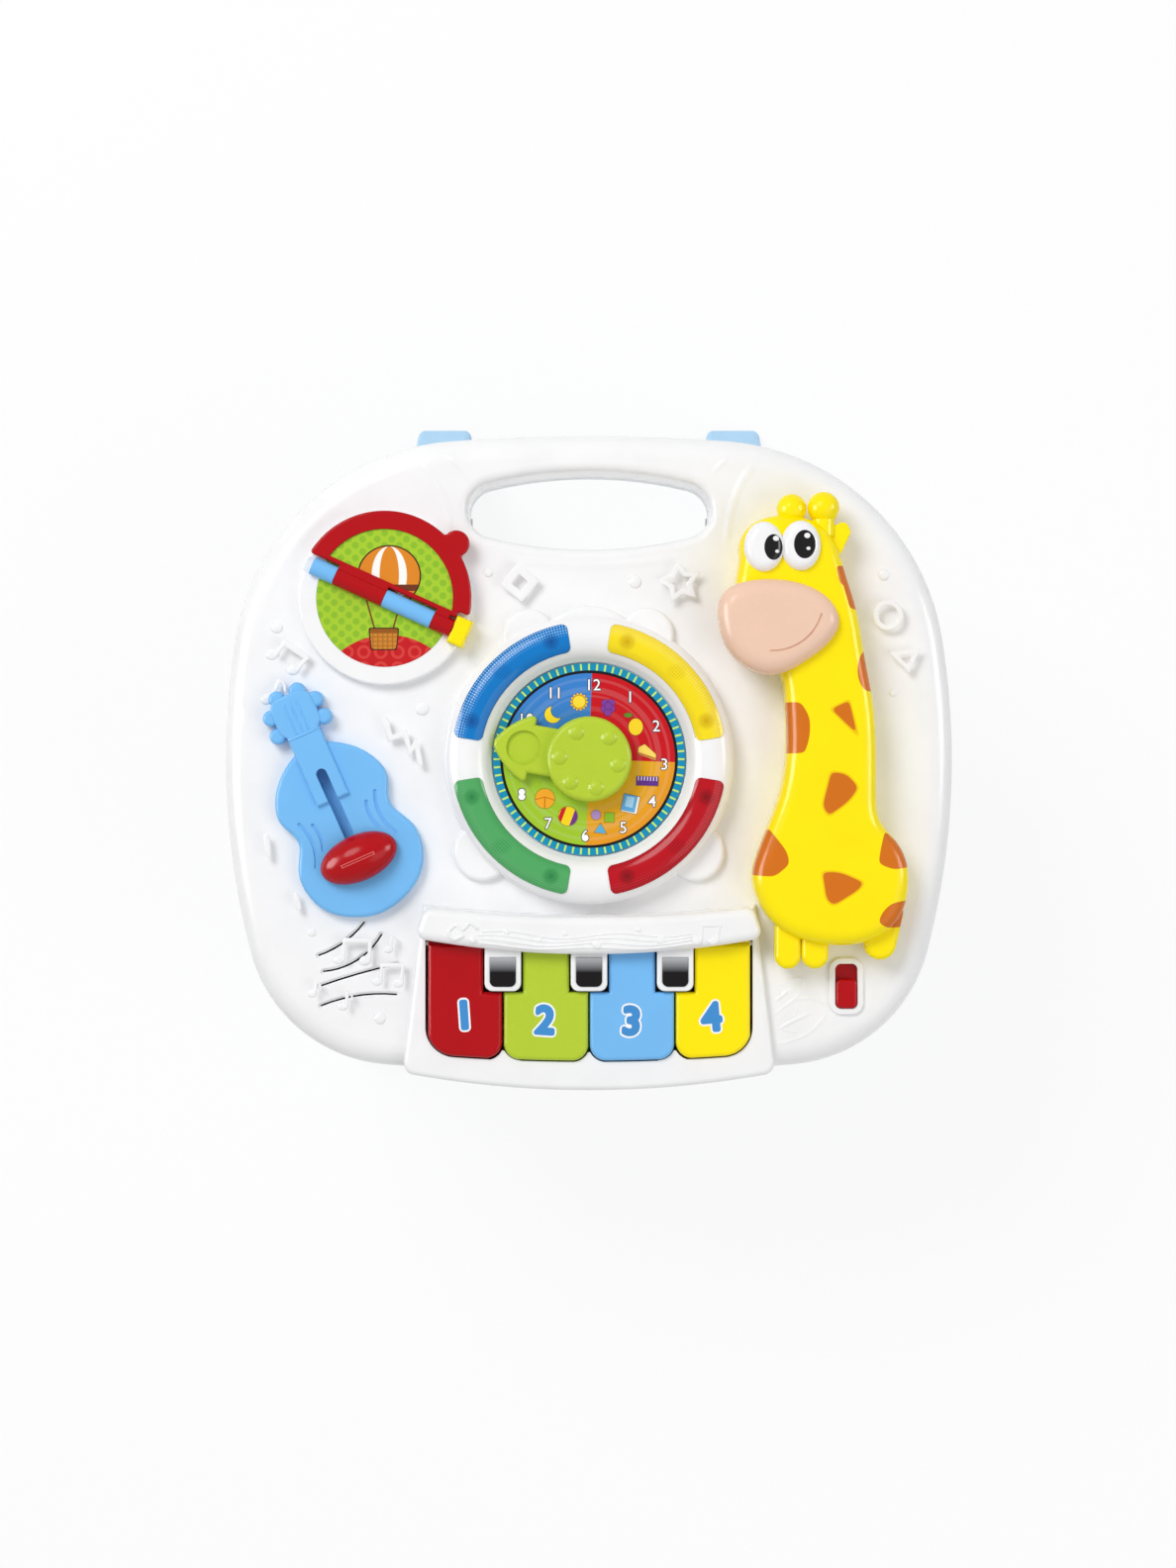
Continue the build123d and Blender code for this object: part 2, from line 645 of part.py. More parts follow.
def make_bottom_cover():
    cover = round_bottom(prism(case_face(COVER_INSET), BASE_Z, SEAM_Z), COVER_EDGE_RADIUS)
    cover -= round_bottom(prism(case_face(COVER_INSET + WALL), FLOOR_Z, SEAM_Z), COVER_EDGE_RADIUS - WALL)
    cover += prism(grip_face(WALL), BASE_Z, SEAM_Z)
    cover -= prism(grip_face(0), BASE_Z, SEAM_Z)
    for x, y in both_sides(CASE_SCREW_PLACES):
        cover += post(x, y, BASE_Z, SEAM_Z, BOSS_RADIUS + WALL / 2)
        cover -= post(x, y, BASE_Z, SEAM_Z, SCREW_RADIUS + RUNNING_GAP)
        cover -= post(x, y, BASE_Z, BASE_Z + HEAD_RECESS, SCREW_HEAD_RADIUS + SLIDE_GAP)
    for x, y in flange_screw_places():
        cover += post(x, y, BASE_Z, SEAM_Z - WALL, BOSS_RADIUS)
        cover -= post(x, y, BASE_Z, BASE_Z + SCREW_LENGTH - BRACKET_PLATE, SCREW_RADIUS + RUNNING_GAP)
    outside, inside = bay_faces()
    cover += prism(outside, BASE_Z, FLOOR_Z + BAY_HEIGHT + WALL)
    cover -= prism(inside, FLOOR_Z, FLOOR_Z + BAY_HEIGHT)
    tab_x, tab_y = door_screw_place()
    cover += post(tab_x, tab_y, BASE_Z, SEAM_Z, DOOR_TAB_RADIUS)
    cover -= prism(door_face(SLIDE_GAP), BASE_Z, FLOOR_Z)
    cover -= post(tab_x, tab_y, FLOOR_Z, BASE_Z + SCREW_LENGTH, SCREW_RADIUS + RUNNING_GAP)
    for x, y in board_posts():
        cover += post(x, y, BASE_Z, FLOOR_Z + BOARD_LIFT, BOARD_POST_RADIUS)
    return cover


def make_battery_door():
    door = prism(door_face(0), BASE_Z, FLOOR_Z)
    x, y = door_screw_place()
    door -= post(x, y, BASE_Z, FLOOR_Z, SCREW_RADIUS + RUNNING_GAP)
    door -= post(x, y, BASE_Z, BASE_Z + SCREW_HEAD_HEIGHT, SCREW_HEAD_RADIUS + SLIDE_GAP)
    return door


def make_cells():
    cells = []
    for row, way in ((-1, 1), (0, -1), (1, 1)):
        body = Cylinder(CELL_RADIUS, CELL_LENGTH - CELL_NUB)
        nub = Pos(0, 0, CELL_LENGTH / 2) * Cylinder(CELL_NUB_RADIUS, CELL_NUB)
        place = Pos(-way * CELL_NUB / 2, BATTERY_Y + row * CELL_PITCH, FLOOR_Z + SLIDE_GAP + CELL_RADIUS)
        cells.append(place * Rot(0, 90 * way, 0) * (body + nub))
    return group(cells)


def make_cell_contacts():
    contacts = []
    height = (FLOOR_Z + SLIDE_GAP, FLOOR_Z + 2 * CELL_RADIUS)
    half = CELL_PITCH + CELL_RADIUS - SLIDE_GAP
    width = (BATTERY_Y - half, BATTERY_Y + half)
    for side in (1, -1):
        plate_x = sorted((side * BAY_LENGTH / 2, side * (BAY_LENGTH / 2 - CONTACT_THICKNESS)))
        post_x = sorted((side * (BAY_LENGTH / 2 - CONTACT_THICKNESS), side * (CELL_LENGTH / 2 + SEAT_GAP)))
        contact = block(plate_x, width, height)
        for row in (-1, 0, 1):
            y = BATTERY_Y + row * CELL_PITCH
            contact += rod_x(post_x, y, FLOOR_Z + SLIDE_GAP + CELL_RADIUS, CONTACT_POST_RADIUS)
        contacts.append(contact)
    return group(contacts)


def make_main_board():
    x, y = BOARD_PLACE
    low = FLOOR_Z + BOARD_LIFT
    board = Pos(x, y, low + BOARD_SIZE[2] / 2) * Box(*BOARD_SIZE)
    top = low + BOARD_SIZE[2]
    board += Pos(x - CHIP_SIZE[0], y, top + CHIP_SIZE[2] / 2) * Box(*CHIP_SIZE)
    for step in (-1, 0, 1):
        board += post(x + CHIP_SIZE[0], y + step * CHIP_SIZE[1], top, top + 2 * CHIP_SIZE[2], CHIP_SIZE[2])
    return board


def make_speaker():
    x, y = SPEAKER_PLACE
    low = CEILING_Z - SPEAKER_RIM
    speaker = post(x, y, low, CEILING_Z, SPEAKER_RADIUS)
    speaker += Pos(x, y, low - BASKET_DEPTH / 2) * Cone(MAGNET_RADIUS, SPEAKER_CONE_RADIUS, BASKET_DEPTH)
    speaker += post(x, y, low - BASKET_DEPTH - MAGNET_DEPTH, low - BASKET_DEPTH, MAGNET_RADIUS)
    depth = SPEAKER_RIM + BASKET_DEPTH - WALL
    speaker -= Pos(x, y, CEILING_Z - depth / 2) * Cone(MAGNET_RADIUS / 2, SPEAKER_CONE_RADIUS - WALL, depth)
    return speaker


def make_case_screws():
    return group([screw(x, y, BASE_Z + HEAD_RECESS, SCREW_LENGTH + COVER_DEPTH - HEAD_RECESS - WALL)
                  for x, y in both_sides(CASE_SCREW_PLACES)])


def make_bracket_screws():
    return group([screw(x, y, BASE_Z - BRACKET_PLATE, SCREW_LENGTH - WALL) for x, y in flange_screw_places()])


def leg_point(along, out):
    """Point of a leg's side view, by its distance down from the hinge and outwards from the leg's line."""
    return (along * LEG_SINE + out * LEG_COSINE, -along * LEG_COSINE + out * LEG_SINE)


def foot_along(out, height):
    return (out * LEG_SINE + HINGE_Z - height) / LEG_COSINE


def side_prism(face, width):
    """Solid of a side view drawn as (outwards, up), centred on the leg's width."""
    return Pos(-width / 2, 0, 0) * extrude(Plane.YZ * face, amount=width)


def make_leg():
    heel = foot_along(-LEG_TOP_RADIUS, PAD_THICKNESS)
    inner = (leg_point(0, -LEG_TOP_RADIUS), leg_point(heel, -LEG_TOP_RADIUS))
    foot_outer = leg_point(foot_along(LEG_FOOT_OUTER, PAD_THICKNESS), LEG_FOOT_OUTER)
    side = make_face([
        ThreePointArc(inner[0], leg_point(-LEG_TOP_RADIUS, 0), leg_point(0, LEG_TOP_RADIUS)),
        ThreePointArc(leg_point(0, LEG_TOP_RADIUS), leg_point(HINGE_Z / 2, LEG_MID_OUTER), foot_outer),
        Line(foot_outer, inner[1]),
        Line(inner[1], inner[0]),
    ])
    leg = side_prism(side, LEG_WIDTH)
    by_x = leg.edges().group_by(Axis.X)
    leg = fillet(by_x[0] + by_x[-1], LEG_EDGE_RADIUS)
    near, far = LEG_POCKET_DEPTHS
    pocket = make_face(Polyline(
        leg_point(LEG_POCKET_START, -2 * LEG_TOP_RADIUS), leg_point(LEG_POCKET_END, -2 * LEG_TOP_RADIUS),
        leg_point(LEG_POCKET_END, far - LEG_TOP_RADIUS), leg_point(LEG_POCKET_START, near - LEG_TOP_RADIUS),
        close=True))
    hollow = side_prism(pocket, LEG_WIDTH - 2 * LEG_WALL)
    for place in LEG_RIB_PLACES:
        rib = make_face(Polyline(
            leg_point(place, LEG_FOOT_OUTER), leg_point(place + LEG_RIB, LEG_FOOT_OUTER),
            leg_point(place + LEG_RIB, LEG_WALL - LEG_TOP_RADIUS),
            leg_point(place, LEG_WALL - LEG_TOP_RADIUS),
            close=True))
        hollow -= side_prism(rib, LEG_WIDTH)
    leg -= hollow
    return leg - rod_x((-LEG_WIDTH, LEG_WIDTH), 0, 0, PIN_RADIUS + RUNNING_GAP)


def make_foot_pad():
    ends = [leg_point(foot_along(out, PAD_THICKNESS), out)[0] for out in (-LEG_TOP_RADIUS, LEG_FOOT_OUTER)]
    width = LEG_WIDTH / 2 - LEG_EDGE_RADIUS
    length = (ends[0] + PAD_INSET, ends[1] - PAD_INSET)
    pad = block((-width, width), length, (-HINGE_Z, PAD_THICKNESS - HINGE_Z))
    return fillet(pad.edges().filter_by(Axis.Z), PAD_INSET)


def make_bracket(place):
    top = HINGE_DROP
    low = HINGE_DROP - BRACKET_PLATE
    inside = LEG_WIDTH / 2 + SLIDE_GAP
    outside = inside + EAR_THICKNESS
    reach = outside + FLANGE_WIDTH
    flange = math.copysign(1, place[0] * place[2])
    plate = block(sorted((-flange * outside, flange * reach)), (BRACKET_INNER, BRACKET_OUTER), (low, top))
    bracket = fillet(plate.edges().filter_by(Axis.Z), LEG_EDGE_RADIUS)
    ear_face = make_hull(
        (Circle(EAR_RADIUS) + make_face(Polyline(
            (BRACKET_INNER, low), (BRACKET_OUTER, low), (BRACKET_OUTER, top), (BRACKET_INNER, top), close=True
        ))).edges())
    stop_face = make_face(Polyline(
        leg_point(STOP_SPAN[0], LEG_TOP_RADIUS + 2 * SLIDE_GAP),
        leg_point(STOP_SPAN[1], LEG_TOP_RADIUS + 2 * SLIDE_GAP),
        leg_point(STOP_SPAN[1], LEG_TOP_RADIUS + STOP_THICKNESS),
        leg_point(STOP_SPAN[0] - STOP_THICKNESS, LEG_TOP_RADIUS + STOP_THICKNESS), close=True))
    bracket += side_prism(stop_face, 2 * outside)
    for side in (1, -1):
        middle = side * (inside + outside) / 2
        bracket += Pos(middle, 0, 0) * side_prism(ear_face, EAR_THICKNESS)
    bracket -= rod_x((-reach, reach), 0, 0, PIN_RADIUS + RUNNING_GAP)
    out = outside + FLANGE_WIDTH / 2
    middle = (BRACKET_INNER + BRACKET_OUTER) / 2
    for step in FLANGE_SCREW_STEPS:
        bracket -= post(flange * out, middle + step, low, top, SCREW_RADIUS + RUNNING_GAP)
    return bracket


def make_hinge_pin():
    reach = LEG_WIDTH / 2 + SLIDE_GAP + EAR_THICKNESS
    pin = rod_x((-reach, reach), 0, 0, PIN_RADIUS)
    for side in (1, -1):
        pin += rod_x(sorted((side * reach, side * (reach + PIN_HEAD))), 0, 0, PIN_HEAD_RADIUS)
    return pin


def make_keyboard_housing():
    housing = round_top(prism(housing_face(), SEAM_Z, HOUSING_TOP_Z), HOUSING_EDGE)
    housing -= prism(well_face(0), SEAM_Z, HOUSING_TOP_Z)
    for line in KEY_LINES[1:-1]:
        housing += prism(key_cusp(line), BED_TOP_Z, HOUSING_TOP_Z)
    reach = WELL_HALF + ROD_SOCKET
    return housing - rod_x((-reach, reach), PIVOT_Y, PIVOT_Z, ROD_RADIUS + RUNNING_GAP)


def key_cusp(line):
    """Filling of the notch between the rounded front corners of two keys."""
    out = KEY_GAP / 2 + KEY_CORNER
    edge = WELL_FRONT_Y + KEY_END_GAP - WELL_FRONT_BOW * (1 - (line / WELL_HALF) ** 2)
    cusp = plan((line - out, line + out), (edge - 2 * KEY_END_GAP, edge + KEY_CORNER / 2))
    for side in (1, -1):
        cusp -= Pos(line + side * out, edge + KEY_CORNER) * Circle(KEY_CORNER + KEY_END_GAP)
    return cusp


def make_key_bed():
    return prism(well_face(SEAT_GAP), SEAM_Z, BED_TOP_Z)


def make_key_rod():
    reach = WELL_HALF + ROD_SOCKET - SEAT_GAP
    return rod_x((-reach, reach), PIVOT_Y, PIVOT_Z, ROD_RADIUS)


def key_span(index):
    return KEY_LINES[index] + KEY_GAP / 2, KEY_LINES[index + 1] - KEY_GAP / 2


def neck_span(index):
    left, right = key_span(index)
    clear = SHARP_WIDTH / 2 + KEY_GAP
    if index > 0:
        left = KEY_LINES[index] + clear
    if index < len(KEY_LINES) - 2:
        right = KEY_LINES[index + 1] - clear
    return left, right


def plan(x_span, y_span):
    centre = Pos(sum(x_span) / 2, sum(y_span) / 2)
    return centre * Rectangle(x_span[1] - x_span[0], y_span[1] - y_span[0])


def inner_corners(index, face):
    """Front corners of a key that lie next to another key."""
    left, right = key_span(index)
    sides = [left] if index > 0 else []
    if index < len(KEY_LINES) - 2:
        sides.append(right)
    return [min((v for v in face.vertices() if abs(v.X - x) < SEAT_GAP), key=lambda v: v.Y) for x in sides]


def make_key(index):
    far = WELL_FRONT_Y - WELL_FRONT_BOW
    step = SHARP_FRONT_Y - KEY_GAP
    wide = plan(key_span(index), (far, step)) & well_face(KEY_END_GAP)
    wide = fillet(inner_corners(index, wide), KEY_CORNER)
    outline = wide + plan(neck_span(index), (step, PIVOT_Y))
    key = round_top(prism(outline, KEY_TOP_Z - KEY_DEPTH, KEY_TOP_Z), KEY_EDGE)
    low = KEY_TOP_Z - KEY_DEPTH
    hollow_top = KEY_TOP_Z - KEY_WALL
    left, right = key_span(index)
    length = (WELL_FRONT_Y + WELL_CORNER, step - KEY_WALL)
    key -= block((left + KEY_WALL, right - KEY_WALL), length, (low, hollow_top))
    neck_left, neck_right = neck_span(index)
    length = (step - KEY_WALL, PIVOT_Y - 2 * BARREL_RADIUS)
    key -= block((neck_left + KEY_WALL, neck_right - KEY_WALL), length, (low, hollow_top))
    key += rod_x(neck_span(index), PIVOT_Y, PIVOT_Z, BARREL_RADIUS)
    key += post(key_middle(index), PLUNGER_Y, BED_TOP_Z + DOME_HEIGHT + SEAT_GAP, hollow_top, PLUNGER_RADIUS)
    return key - rod_x(key_span(index), PIVOT_Y, PIVOT_Z, ROD_RADIUS + RUNNING_GAP)


def key_middle(index):
    return sum(key_span(index)) / 2


def make_key_domes():
    dome = Cone(DOME_RADIUS, PLUNGER_RADIUS, DOME_HEIGHT)
    return group([
        Pos(key_middle(index), PLUNGER_Y, BED_TOP_Z + DOME_HEIGHT / 2) * dome
        for index in range(len(KEY_LINES) - 1)
    ])


def bow(points):
    half, end_y, middle_y = points
    return (-half, end_y), (0, middle_y), (half, end_y)


def sharp_lines():
    return KEY_LINES[1:-1]


def make_canopy():
    rear = bow(CANOPY_REAR)
    front = bow(CANOPY_FRONT)
    face = make_face([
        ThreePointArc(*rear), Line(rear[2], front[2]), ThreePointArc(*front), Line(front[0], rear[0]),
    ])
    top = HOUSING_TOP_Z + CANOPY_HEIGHT
    face = fillet(face.vertices(), CANOPY_CORNER)
    canopy = round_top(prism(face, HOUSING_TOP_Z, top), CANOPY_EDGE)
    canopy -= prism(well_face(0), HOUSING_TOP_Z, top - CANOPY_ROOF)
    low = KEY_TOP_Z - SHARP_BOTTOM_DROP
    tab_top = KEY_TOP_Z + SHARP_RAISE
    for line in sharp_lines():
        span = (line - SHARP_WIDTH / 2, line + SHARP_WIDTH / 2)
        tab = plan(span, (SHARP_FRONT_Y, WELL_REAR_Y - KEY_GAP))
        tab = fillet(tab.vertices().group_by(Axis.Y)[0], SHARP_CORNER)
        canopy += round_top(prism(tab, low, tab_top), SWITCH_RIM_EDGE)
        riser = CANOPY_FRONT[2] + CANOPY_EDGE
        canopy += block(span, (riser, WELL_REAR_Y - KEY_GAP), (low, top - CANOPY_ROOF))
        canopy -= Pos(line, 0) * prism(insert_face(0), tab_top - INSERT_DEPTH, tab_top)
    return canopy


def insert_face(inset):
    half = INSERT_WIDTH / 2 - inset
    face = plan((-half, half), (INSERT_FRONT_Y + inset, INSERT_REAR_Y - inset))
    return fillet(face.vertices().group_by(Axis.Y)[0], INSERT_CORNER)


def make_sharp_inserts():
    top = KEY_TOP_Z + SHARP_RAISE
    insert = prism(insert_face(SEAT_GAP), top - INSERT_DEPTH, top + INSERT_PROUD)
    insert = round_top(insert, INSERT_PROUD / 2)
    return group([Pos(line, 0) * insert for line in sharp_lines()])


def polar(angle, out):
    return (out * math.cos(math.radians(angle)), out * math.sin(math.radians(angle)))


def make_clock_base():
    face = Circle(CLOCK_BASE_RADIUS) + Pos(0, CLOCK_TOP_OUT) * Circle(CLOCK_TOP_RADIUS)
    for angle in BELL_ANGLES:
        face += Pos(*polar(angle, BELL_OUT)) * Circle(BELL_RADIUS)
    for angle in CLOCK_FOOT_ANGLES:
        face += Pos(*polar(angle, CLOCK_FOOT_OUT)) * Circle(CLOCK_FOOT_RADIUS)
    base = round_top(prism(face, PANEL_Z, CLOCK_TOP_Z), CLOCK_BASE_EDGE)
    return base - post(0, 0, PANEL_Z, CLOCK_TOP_Z, KNOB_SHAFT_RADIUS + RUNNING_GAP)


def crown_height(out, radius):
    return BEZEL_CROWN_Z + math.sqrt(radius**2 - (out - BEZEL_CROWN_OUT) ** 2)


def crown_arc(inner, outer, radius):
    return ThreePointArc(
        (inner, crown_height(inner, radius)),
        (BEZEL_CROWN_OUT, crown_height(BEZEL_CROWN_OUT, radius)),
        (outer, crown_height(outer, radius)))


def spin(edges):
    return Pos(0, 0, CLOCK_TOP_Z) * revolve(Plane.XZ * make_face(edges), Axis.Z)


def crown_shell(inner, outer, top_radius, bottom_radius):
    """Ring between two crown arcs."""
    return spin([
        crown_arc(inner, outer, top_radius), crown_arc(inner, outer, bottom_radius),
        Line((inner, crown_height(inner, bottom_radius)), (inner, crown_height(inner, top_radius))),
        Line((outer, crown_height(outer, bottom_radius)), (outer, crown_height(outer, top_radius))),
    ])


def window_face(grow, angle):
    inner, outer = WINDOW_INNER - grow, WINDOW_OUTER + grow
    half = WINDOW_SPAN / 2 + math.degrees(grow / BEZEL_CROWN_OUT)
    ends = [(polar(-half, out), polar(0, out), polar(half, out)) for out in (inner, outer)]
    face = make_face([
        ThreePointArc(*ends[0]), Line(ends[0][2], ends[1][2]),
        ThreePointArc(*ends[1]), Line(ends[1][0], ends[0][0]),
    ])
    return Rot(0, 0, angle) * fillet(face.vertices(), WINDOW_CORNER)


def window_prism(grow, angle):
    return prism(window_face(grow, angle), PANEL_Z, CLOCK_TOP_Z + 2 * BEZEL_CROWN_RADIUS)


def make_bezel():
    inside = BEZEL_CROWN_RADIUS - BEZEL_WALL
    hollow = (BEZEL_INNER + BEZEL_WALL / 2, BEZEL_OUTER - BEZEL_WALL)
    solid = spin([
        Line((BEZEL_FOOT, 0), (BEZEL_OUTER, 0)),
        Line((BEZEL_OUTER, 0), (BEZEL_OUTER, crown_height(BEZEL_OUTER, BEZEL_CROWN_RADIUS))),
        crown_arc(BEZEL_INNER, BEZEL_OUTER, BEZEL_CROWN_RADIUS),
        Line((BEZEL_INNER, crown_height(BEZEL_INNER, BEZEL_CROWN_RADIUS)), (BEZEL_FOOT, DIAL_THICKNESS)),
        Line((BEZEL_FOOT, DIAL_THICKNESS), (BEZEL_FOOT, 0)),
    ])
    solid -= spin([
        Line((hollow[0], 0), (hollow[1], 0)),
        Line((hollow[1], 0), (hollow[1], crown_height(hollow[1], inside))),
        crown_arc(hollow[0], hollow[1], inside),
        Line((hollow[0], crown_height(hollow[0], inside)), (hollow[0], 0)),
    ])
    for angle in WINDOW_ANGLES.values():
        solid -= window_prism(SEAT_GAP, angle)
    return solid


def make_window(angle):
    inside = BEZEL_CROWN_RADIUS - BEZEL_WALL
    span = (WINDOW_INNER - WINDOW_FLANGE_STEP, WINDOW_OUTER + WINDOW_FLANGE_STEP)
    low = inside - WINDOW_FLANGE
    lens = crown_shell(*span, BEZEL_CROWN_RADIUS + WINDOW_PROUD, low) & window_prism(0, angle)
    flange = crown_shell(*span, inside - SEAT_GAP, low) & window_prism(WINDOW_FLANGE_STEP, angle)
    return lens + flange


def make_lamp_board():
    inner, outer = LAMP_BOARD_RADII
    return prism(Circle(outer) - Circle(inner), CLOCK_TOP_Z, CLOCK_TOP_Z + LAMP_BOARD)


def make_lamps():
    low = CLOCK_TOP_Z + LAMP_BOARD
    lamps = []
    for angle in WINDOW_ANGLES.values():
        for side in (1, -1):
            x, y = polar(angle + side * LAMP_OFFSET, LAMP_OUT)
            lamps.append(post(x, y, low, low + LAMP_HEIGHT, LAMP_RADIUS)
                         + Pos(x, y, low + LAMP_HEIGHT) * Sphere(LAMP_RADIUS))
    return group(lamps)


def make_dial():
    dial = prism(Circle(DIAL_RADIUS), CLOCK_TOP_Z, DIAL_TOP_Z)
    return dial - post(0, 0, CLOCK_TOP_Z, DIAL_TOP_Z, KNOB_SHAFT_RADIUS + SLIDE_GAP)


def make_pointer_knob():
    axial, lateral = POINTER_BARB
    side_x, side_y = POINTER_SIDE
    barbs = make_face([
        ThreePointArc((axial, -lateral), (side_x, -side_y), (POINTER_TIP, 0)),
        ThreePointArc((POINTER_TIP, 0), (side_x, side_y), (axial, lateral)),
        Line((axial, lateral), (axial, -lateral)),
    ])
    barbs = fillet(barbs.vertices().group_by(Axis.X)[-1], POINTER_TIP_RADIUS)
    barbs = fillet(barbs.vertices().group_by(Axis.X)[0], POINTER_EDGE)
    arrow = barbs + plan((0, axial + POINTER_EDGE), (-POINTER_STEM_HALF, POINTER_STEM_HALF))
    pointer = round_top(prism(arrow, KNOB_Z, KNOB_Z + POINTER_HEIGHT), POINTER_EDGE)
    dish_low = KNOB_Z + POINTER_HEIGHT - POINTER_DISH_DEPTH
    pointer -= post(POINTER_DISH_OUT, 0, dish_low, KNOB_Z + POINTER_HEIGHT, POINTER_DISH_RADIUS)
    knob = Rot(0, 0, POINTER_ANGLE) * pointer
    top = KNOB_Z + KNOB_HUB_HEIGHT
    knob += round_top(post(0, 0, KNOB_Z, top, KNOB_HUB_RADIUS), KNOB_EDGE)
    for angle in BUMP_ANGLES:
        x, y = polar(angle, BUMP_OUT)
        ball = (BUMP_RADIUS**2 + BUMP_RISE**2) / (2 * BUMP_RISE)
        bump = Pos(x, y, top + BUMP_RISE - ball) * Sphere(ball)
        knob += bump & post(x, y, KNOB_Z + POINTER_HEIGHT, top + BUMP_RISE, BUMP_RADIUS)
    return knob + post(0, 0, CEILING_Z - KNOB_SHAFT_BELOW, KNOB_Z, KNOB_SHAFT_RADIUS)


def make_knob_retainer():
    high = CEILING_Z - SLIDE_GAP
    ring = prism(Circle(RETAINER_RADIUS) - Circle(KNOB_SHAFT_RADIUS), high - RETAINER_THICKNESS, high)
    return ring


def along_bar(span, radius):
    return rod_x(span, 0, PAGE_AXIS_Z, radius)


def end_cap_box(grow):
    low, high = END_CAP_SPAN
    half = END_CAP_HALF + grow
    return block((low - grow, high + grow), (-half, half), (PANEL_Z, PAGE_TOP_Z + END_CAP_RISE + grow))


def knuckle_foot(span, grow):
    middle = sum(span) / 2
    half = KNUCKLE_FOOT / 2 + grow
    top = PAGE_AXIS_Z - PAGE_PIN_RADIUS - SLIDE_GAP
    return block((middle - half, middle + half), (-half, half), (PANEL_Z, top))


def make_page_base():
    base = round_top(prism(Circle(PAGE_BASE_RADIUS), PANEL_Z, PAGE_TOP_Z), PAGE_BASE_EDGE)
    base -= prism(Circle(CARD_RADIUS), PAGE_TOP_Z - CARD_THICKNESS, PAGE_TOP_Z)
    reach = PAGE_BASE_RADIUS + KNUCKLE_RADIUS
    base -= along_bar((-reach, reach), KNUCKLE_RADIUS + SLIDE_GAP)
    for span in FIXED_KNUCKLES:
        base -= knuckle_foot(span, SEAT_GAP)
    return page_place(base - end_cap_box(SEAT_GAP))


def make_base_cards():
    cards = prism(Circle(CARD_RADIUS - SEAT_GAP), PAGE_TOP_Z - CARD_THICKNESS, PAGE_TOP_Z)
    cards -= block((-CARD_RADIUS, CARD_RADIUS), (-KNUCKLE_RADIUS, KNUCKLE_RADIUS), (PANEL_Z, PAGE_TOP_Z))
    return page_place(group([cards]))


def make_hinge_bar():
    knuckles = []
    for span in FIXED_KNUCKLES:
        inner = (span[0] + SEAT_GAP, span[1] - SEAT_GAP)
        knuckle = along_bar(inner, KNUCKLE_RADIUS) + knuckle_foot(span, 0)
        knuckles.append(knuckle - along_bar(span, PAGE_PIN_RADIUS + RUNNING_GAP))
    return page_place(group(knuckles))


def make_page_pin():
    span = (FIXED_KNUCKLES[0][0] + SEAT_GAP, END_CAP_SPAN[0] + END_CAP_HALF / 2)
    return page_place(along_bar(span, PAGE_PIN_RADIUS))


def make_end_cap():
    cap = end_cap_box(0)
    cap = round_top(cap, END_CAP_EDGE)
    bore_end = END_CAP_SPAN[0] + END_CAP_HALF / 2 + SEAT_GAP
    return page_place(cap - along_bar((0, bore_end), PAGE_PIN_RADIUS + RUNNING_GAP))


def page_zone(start):
    reach = 2 * PAGE_BASE_RADIUS
    return plan((-reach, reach), (start, reach))


def make_flip_page():
    low = PAGE_AXIS_Z - PAGE_THICKNESS / 2
    high = PAGE_AXIS_Z + PAGE_THICKNESS / 2
    outline = Circle(PAGE_BASE_RADIUS) & page_zone(PAGE_START)
    notch_start = END_CAP_SPAN[0] - 2 * SLIDE_GAP
    outline -= plan((notch_start, 2 * PAGE_BASE_RADIUS), (0, END_CAP_HALF + END_CAP_CLEARANCE))
    outline += Pos(*polar(PAGE_TAB_ANGLE, PAGE_TAB_OUT)) * Circle(PAGE_TAB_RADIUS)
    page = prism(fillet(outline.vertices(), PAGE_CORNER), low, high)
    page = round_bottom(round_top(page, PAGE_EDGE), PAGE_EDGE)
    picture = Circle(CARD_RADIUS) & page_zone(PAGE_START + PAGE_HINGE_RIM)
    page -= prism(picture, PAGE_AXIS_Z + PAGE_WEB / 2, high)
    page -= prism(picture, low, PAGE_AXIS_Z - PAGE_WEB / 2)
    for span in MOVING_KNUCKLES:
        inner = (span[0] + SEAT_GAP, span[1] - SEAT_GAP)
        page += along_bar(inner, KNUCKLE_RADIUS)
        web = (inner[0], min(inner[1], notch_start - 2 * PAGE_CORNER))
        page += block(web, (0, PAGE_START + PAGE_EDGE + SLIDE_GAP), (low, high))
    reach = PAGE_BASE_RADIUS
    return page_place(page - along_bar((-reach, reach), PAGE_PIN_RADIUS + RUNNING_GAP))


def make_page_cards():
    picture = Circle(CARD_RADIUS - SEAT_GAP) & page_zone(PAGE_START + PAGE_HINGE_RIM + SEAT_GAP)
    upper = prism(picture, PAGE_AXIS_Z + PAGE_WEB / 2, PAGE_AXIS_Z + PAGE_WEB / 2 + PAGE_CARD)
    lower = prism(picture, PAGE_AXIS_Z - PAGE_WEB / 2 - PAGE_CARD, PAGE_AXIS_Z - PAGE_WEB / 2)
    return page_place(group([upper, lower]))


